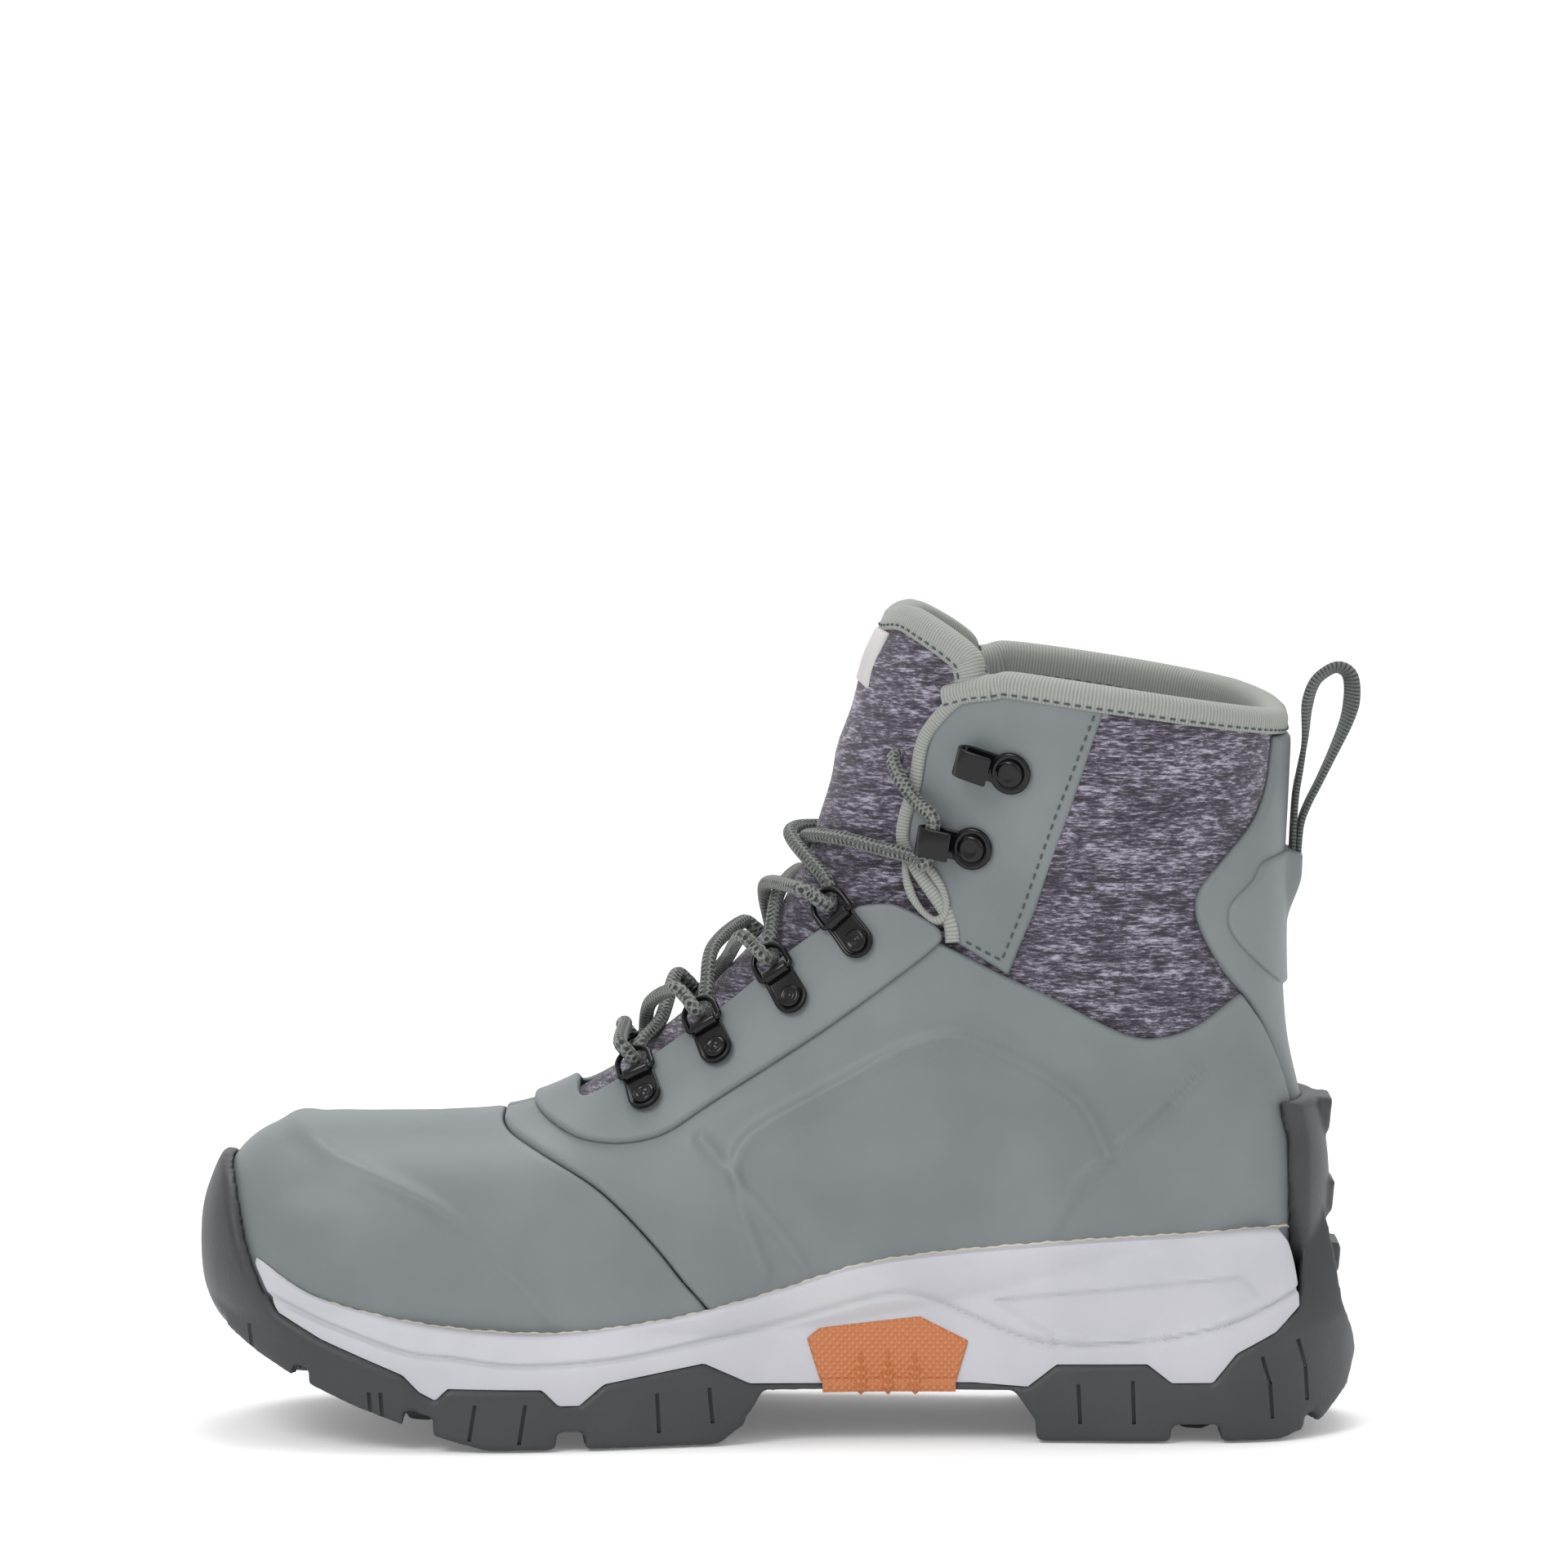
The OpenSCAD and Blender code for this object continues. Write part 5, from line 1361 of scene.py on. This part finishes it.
xs = np.linspace(7.2, 48.7, 90)
arch_low = np.interp(xs, [7.1, 10.6, 45.8, 48.8], [26.9, 15.8, 15.8, 26.0])
arch_high = np.interp(xs, [7.1, 10.3, 36.3, 48.8], [27.3, 29.9, 32.7, 26.4])
arch = wall_block("arch stabiliser", xs, arch_low, arch_high, arch_offset, 30)
ribs = []
for side, sign in (("medial", -1), ("lateral", 1)):
    for x in (20.9, 28.0, 35.1):
        y = float(half_width(np.array([x]), side)[0][0])
        face = y - 0.7
        points = [[x, sign * face, 25.5], [x + 2.5, sign * face, 14.6], [x, sign * face, 12.2],
                  [x - 2.5, sign * face, 14.6], [x, sign * (y + 1.8), 14.0], [x, sign * (face - 2), 17]]
        faces = [(0, 1, 4), (1, 2, 4), (2, 3, 4), (3, 0, 4), (1, 0, 5), (2, 1, 5), (3, 2, 5), (0, 3, 5)]
        rib = new_object("rib", np.array(points), faces, smooth=False)
        tidy(rib)
        ribs.append(rib)
    xs = np.linspace(10.9, 45.6, 30)
    y, slope = half_width(xs, side)
    lip = np.array([[-3.0, 16.6], [-3.0, 13.4], [-1.5, 12.9], [-0.5, 13.1], [0.1, 14.2], [0.1, 15.6], [-0.6, 16.6]])
    path = np.stack([xs, sign * y, np.zeros(len(xs))], -1)
    ribs.append(sweep("lip", path, np.tile([0, sign, 0], (len(xs), 1)), np.tile([0, 0, 1], (len(xs), 1)), lip))
arch = join([arch] + ribs, "arch stabiliser")
bpy.ops.object.shade_smooth_by_angle(angle=math.radians(35))
dress(arch, arch_tpu, replaces=["arch_stabiliser"])


# %% [markdown]
# ## Hardware
# Straps are folded plates with a raised rim, a rolled top that holds the ring, and a domed rivet.
# Each is modelled once in its own small frame and set on the last at the eight ring places.

# %% Strap and rivet
RING_PLACES = [[8.78, 28.6], [9.72, 28.6], [10.73, 30.3], [12, 34.2]]
HOOK_PLACES = [[15.95, 57.6, 30], [18.35, 69.2, 14]]
RING_LIFT = 5.65


def extruded(name, outline, low, high, bevel=0.25, rim=0.0, sink=0.0, along="z"):
    """A flat outline pushed up into a plate with bevelled edges, and a sunk face inside a raised rim."""
    n = len(outline)
    points = [[x, y, low] for x, y in outline]
    piece = new_object(name, np.array(points), [list(range(n))], smooth=False)
    bpy.ops.object.select_all(action="DESELECT")
    bpy.context.view_layer.objects.active = piece
    piece.select_set(True)
    bpy.ops.object.mode_set(mode="EDIT")
    bpy.ops.mesh.select_all(action="SELECT")
    bpy.ops.mesh.extrude_region_move(TRANSFORM_OT_translate={"value": (0, 0, (high - low) * MM)})
    if rim:
        bpy.ops.mesh.inset(thickness=rim * MM)
        bpy.ops.mesh.inset(thickness=0.35 * MM)
        bpy.ops.transform.translate(value=(0, 0, -sink * MM))
    bpy.ops.object.mode_set(mode="OBJECT")
    tidy(piece)
    soften = piece.modifiers.new("bevel", "BEVEL")
    soften.width = bevel * MM
    soften.segments = 3
    soften.limit_method = "ANGLE"
    soften.angle_limit = math.radians(40)
    bpy.ops.object.modifier_apply(modifier="bevel")
    bpy.ops.object.shade_smooth_by_angle(angle=math.radians(40))
    return piece


def lathe(name, profile, sides=40):
    """Turns a list of (radius, height) points round z."""
    prof = np.asarray(profile, float)
    w = np.linspace(0, 2 * math.pi, sides, endpoint=False)
    verts = np.stack([prof[:, 0, None] * np.cos(w), prof[:, 0, None] * np.sin(w),
                      np.repeat(prof[:, 1, None], sides, axis=1)], -1).reshape(-1, 3)
    m = len(prof)
    i, j = np.meshgrid(np.arange(m - 1), np.arange(sides), indexing="ij")
    q = (j + 1) % sides
    faces = np.stack([i * sides + j, i * sides + q, (i + 1) * sides + q, (i + 1) * sides + j], -1).reshape(-1, 4).tolist()
    faces += [list(range(sides)), list(range((m - 1) * sides, m * sides))]
    piece = new_object(name, verts, faces)
    tidy(piece)
    bpy.ops.object.select_all(action="DESELECT")
    bpy.context.view_layer.objects.active = piece
    piece.select_set(True)
    bpy.ops.object.shade_smooth_by_angle(angle=math.radians(50))
    return piece


def at_place(piece, at, name):
    """A copy of a small model, moved to its place on the boot by changing its mesh."""
    mesh = piece.data.copy()
    co = np.empty(len(mesh.vertices) * 3)
    mesh.vertices.foreach_get("co", co)
    mesh.vertices.foreach_set("co", (place(co.reshape(-1, 3) / MM, at) * MM).ravel())
    mesh.update()
    copy = bpy.data.objects.new(name, mesh)
    bpy.context.scene.collection.objects.link(copy)
    return copy


w = np.radians(np.linspace(90, 270, 17))
strap_outline = np.vstack([[[-0.6, -4.3], [0.2, -3.4], [0.2, 3.4], [-0.6, 4.3]],
                           np.stack([-8 + 4.5 * np.cos(w), 4.5 * np.sin(w)], -1)])
strap = extruded("strap", strap_outline, -1.7, -0.25, 0.3, rim=0.75, sink=0.35)
w = np.radians(np.arange(0, 360, 12.0))
roll = extruded("roll", np.stack([1.75 * np.cos(w), 1.75 * np.sin(w)], -1), -3.4, 3.4, 0.3)
co = np.empty(len(roll.data.vertices) * 3)
roll.data.vertices.foreach_get("co", co)
co = co.reshape(-1, 3)[:, [0, 2, 1]] * [1, -1, 1]
roll.data.vertices.foreach_set("co", co.ravel())
strap = join([strap, roll], "strap")
rivet = lathe("rivet", [[1.9, -1.5], [3.05, -0.6], [3.05, -0.25], [2.8, 0.1], [2.35, 0.3], [1.9, 0.3], [1.6, 0.12],
                        [1.3, 0.05], [1.0, 0.2], [0.6, 0.42], [0.05, 0.5]])
co = np.empty(len(rivet.data.vertices) * 3)
rivet.data.vertices.foreach_get("co", co)
rivet.data.vertices.foreach_set("co", (co.reshape(-1, 3) + [-8 * MM, 0, 0]).ravel())
straps, rivets = [], []
for side in ("medial", "lateral"):
    for u, a in RING_PLACES:
        at = last_frame(u, a, RING_LIFT, 0, side)
        straps.append(at_place(strap, at, "strap"))
        rivets.append(at_place(rivet, at, "rivet"))
for spare in (strap, rivet):
    bpy.data.objects.remove(spare, do_unlink=True)
dress(join(straps, "ring straps"), black_metal, replaces=["ring_straps"])
dress(join(rivets, "strap rivets"), black_metal, replaces=["strap_rivets"])


# %% Speed hooks
def hook_outline():
    """Side profile of a hook: foot, round bend and a lip that returns over the lace."""
    outer, inner = 3.3, 2.3
    w = np.radians(np.linspace(-90, 90, 19))
    outside = np.stack([11 + outer * np.cos(w), 3.3 + outer * np.sin(w)], -1)
    inside = np.stack([11 + inner * np.cos(w[::-1]), 3.3 + inner * np.sin(w[::-1])], -1)
    return np.vstack([[[-5.2, 0], [0, 0]], outside, [[5.2, 6.9], [4.4, 6.7], [4.2, 6.1], [4.9, 5.6]], inside,
                      [[0, 1], [-5.2, 1]]])


hook = extruded("hook", hook_outline(), -3.8, 3.8, 0.45)
co = np.empty(len(hook.data.vertices) * 3)
hook.data.vertices.foreach_get("co", co)
co = co.reshape(-1, 3)[:, [0, 2, 1]] * [1, -1, 1]
narrow = np.clip((-co[:, 0] / MM - 0.5) / 5.0, 0, 1)
co[:, 1] *= 1 - 0.42 * narrow**2
hook.data.vertices.foreach_set("co", co.ravel())
tidy(hook)
disc = lathe("disc", [[5.1, 0], [5.5, 0.2], [5.6, 0.7], [5.3, 1.15], [4.7, 1.3], [4.2, 1.1], [3.4, 1.05], [2, 1.0]])
hook = join([hook, disc], "hook")
cap = lathe("cap", [[2, 0.5], [3.7, 1.0], [3.75, 1.5], [3.5, 2.0], [2.9, 2.3], [2.1, 2.3], [1.5, 2.1], [0.8, 2.05],
                    [0.05, 2.1]])
hooks, caps = [], []
for side in ("medial", "lateral"):
    for u, a, turn in HOOK_PLACES:
        at = last_frame(u, a, 2.5, turn, side)
        hooks.append(at_place(hook, at, "hook"))
        caps.append(at_place(cap, at, "cap"))
for spare in (hook, cap):
    bpy.data.objects.remove(spare, do_unlink=True)
dress(join(hooks, "speed hooks"), black_metal, replaces=["speed_hooks"])
dress(join(caps, "hook rivets"), black_metal, replaces=["hook_rivets"])
print("hooks and straps placed")


# %% [markdown]
# ## Lace
# The boot holds the lace all the way, so it is one fixed cord: from the inner tail up through a
# hook, down through the four pairs of rings in a criss-cross, and back to the outer tail.

# %% Lace
LACE_ROUTE = np.array([
    [-12, -10, 101], [1, -10.5, 110.5], [13, -11.5, 120.5], [22, -12.5, 130.5], [29, -13.5, 138.5],
    [35, -14.5, 148], [38.5, -15.5, 157], [42, -17, 165], [40.5, -17.5, 174], [34.5, -19.5, 178],
    [29.5, -22, 177.5], [31, -27, 172.5], [35.5, -30.5, 166.5], [39.5, -34, 162.5], [38.5, -32.5, 156.5],
    [37.5, -32.5, 150.5], [35, -30.5, 152], [26, -25, 154], [14.5, -16, 156], [6.5, 0, 154.5],
    [12, 17.5, 145.5], [12.5, 19, 141.5], [13.5, 21.5, 139.5], [12.5, 24, 139], [10.5, 25.5, 140],
    [8, 25.5, 142.5], [4.5, 23.5, 143.5], [-0.5, 0, 140], [-2.5, -12.5, 130], [-2.5, -14, 126],
    [-2, -17, 124], [-3, -19.5, 124.5], [-4.5, -21, 125.5], [-7, -20, 128], [-10.5, -17.5, 130],
    [-14.5, 0, 122], [-19.5, 12, 114.5], [-20, 14.5, 111], [-20, 18, 109.5], [-21.5, 20, 110.5],
    [-23, 21, 112], [-25, 19.5, 114.5], [-28, 16.5, 116], [-31.5, 0, 106.5], [-36.5, -10.5, 101.5],
    [-37, -13, 98], [-37.5, -16.5, 97], [-38.5, -18.5, 98], [-40, -19.5, 100], [-42, -18, 102.5],
    [-41, 0.5, 105], [-42, 20, 102.5], [-40, 21.5, 100], [-38.5, 21, 98], [-37.5, 19, 96.5],
    [-37, 15.5, 97.5], [-36, 13, 100.5], [-34.5, 0, 110.5], [-28, -15, 116], [-25, -18, 114.5],
    [-23, -19.5, 112], [-21.5, -18, 110.5], [-20, -16, 110], [-20, -13, 111.5], [-19.5, -10.5, 115],
    [-18, 0, 125], [-10.5, 19, 130], [-7, 21.5, 128.5], [-4.5, 22, 126], [-3, 21, 124.5], [-2, 18.5, 124],
    [-2.5, 15.5, 125.5], [-2.5, 13.5, 129.5], [-4, 0, 142], [4, -22.5, 143.5], [8, -24.5, 142],
    [10.5, -24.5, 140], [12.5, -23, 139], [13, -20.5, 139], [12.5, -18, 141.5], [11.5, -17, 145.5],
    [2.5, 0, 156], [14.5, 16, 156], [26, 25.5, 154], [35, 31, 152], [37.5, 32.5, 150.5],
    [38.5, 32.5, 156.5], [39.5, 34, 162.5], [35.5, 30.5, 166.5], [31, 27, 172.5], [29.5, 22, 177.5],
    [34.5, 19.5, 178], [40.5, 17.5, 174], [42, 17, 165], [38.5, 15.5, 156.5], [34.5, 15, 148],
    [28.5, 14, 138], [22, 14, 130.5], [13, 13, 120.5], [1, 12.5, 110.5], [-12, 12.5, 100.5]
], float)
LACE_R = 1.9


def tube_mesh(name, path, radius, sides=14):
    p = np.asarray(path, float)
    along = unit(np.gradient(p, axis=0))
    v = np.empty_like(p)
    v[0] = unit(np.cross(along[0], [1, 0, 0.2]))
    for i in range(1, len(p)):
        v[i] = unit(v[i - 1] - (v[i - 1] @ along[i]) * along[i])
    w = np.linspace(0, 2 * math.pi, sides, endpoint=False)
    circle = np.stack([np.cos(w), np.sin(w)], -1)
    prof = np.asarray(radius, float).reshape(-1, 1, 1) * circle[None]
    if len(prof) == 1:
        prof = np.repeat(prof, len(p), axis=0)
    return sweep(name, p, v, np.cross(along, v), prof)


lace_path = even_line(curve(LACE_ROUTE, 12), 0.9)
lace = dress(tube_mesh("lace", lace_path, LACE_R, 14), lace_braid, replaces=["lace"])
tips = []
for first, second in ((0, 1), (-1, -2)):
    end = LACE_ROUTE[first]
    direction = unit(end - LACE_ROUTE[second])
    s = np.array([-0.2, 0, 0.3, 1, 9, 17, 17.7, 18])
    r = np.array([1.2, 1.75, 1.95, 1.8, 1.65, 1.6, 1.4, 0.9])
    tips.append(tube_mesh("tip", end + (s - 0.2)[:, None] * direction, r, 20))
dress(join(tips, "lace tips"), tip_plastic, replaces=["lace_tips"])


# %% [markdown]
# The pull loop is a folded strip of webbing, swept along its path up the heel and back down, with a
# slight twist toward its top.

# %% Pull loop
LOOP_PATH = curve([[134.3, 144], [134.7, 150], [135, 157], [135.6, 166], [136.8, 173], [138, 180.5], [138.6, 189.8],
                   [140.5, 195.5], [144, 198.6], [147.1, 199.4], [149.8, 197.2], [150.3, 191.7], [149, 185.7],
                   [146, 178.5], [141.8, 169.5], [138.8, 163.5], [137, 158.5], [136.3, 152], [135.9, 145]], 8)
band = even_line(LOOP_PATH, 1.0)
path = np.stack([band[:, 0], np.zeros(len(band)), band[:, 1]], -1)
along = unit(np.gradient(path, axis=0))
rise = np.clip((path[:, 2] - 165) / 25, 0, 1)
twist = 0.28 * rise**2
across = np.stack([np.zeros(len(band)), np.ones(len(band)), np.zeros(len(band))], -1)
face = np.cross(along, across)
out = np.cos(twist)[:, None] * face + np.sin(twist)[:, None] * across
up = -np.sin(twist)[:, None] * face + np.cos(twist)[:, None] * across
strip = np.array([[-0.65, -4.7], [-0.75, -4.0], [-0.75, 0], [-0.75, 4.0], [-0.65, 4.7], [0, 5.0], [0.65, 4.7], [0.75, 4.0],
                  [0.75, 0], [0.75, -4.0], [0.65, -4.7], [0, -5.0]])
loop = sweep("pull loop", path, out, up, strip)
loop.data.materials.append(webbing_weave)
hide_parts("pull_loop", "loop_anchor")
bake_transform(loop)


# %% [markdown]
# ## Hidden parts and finish
# Rings keep their modelled wire and take the black plating. Parts inside the sole and under the knit
# keep their plain shapes and get their own finishes.

# %% Materials on the parts kept from the frame
kept = {"shank": shank_nylon, "lasting_board": board_fibre, "toe_puff": stiffener_sheet,
        "heel_counter": stiffener_sheet}
kept.update({f"ring_{side}_{i}": black_metal for side in ("medial", "lateral") for i in range(1, 5)})
for name, material in kept.items():
    node = bpy.data.objects.get(name)
    if node is None:
        print("no node", name)
        continue
    node.data.materials.clear()
    node.data.materials.append(material)
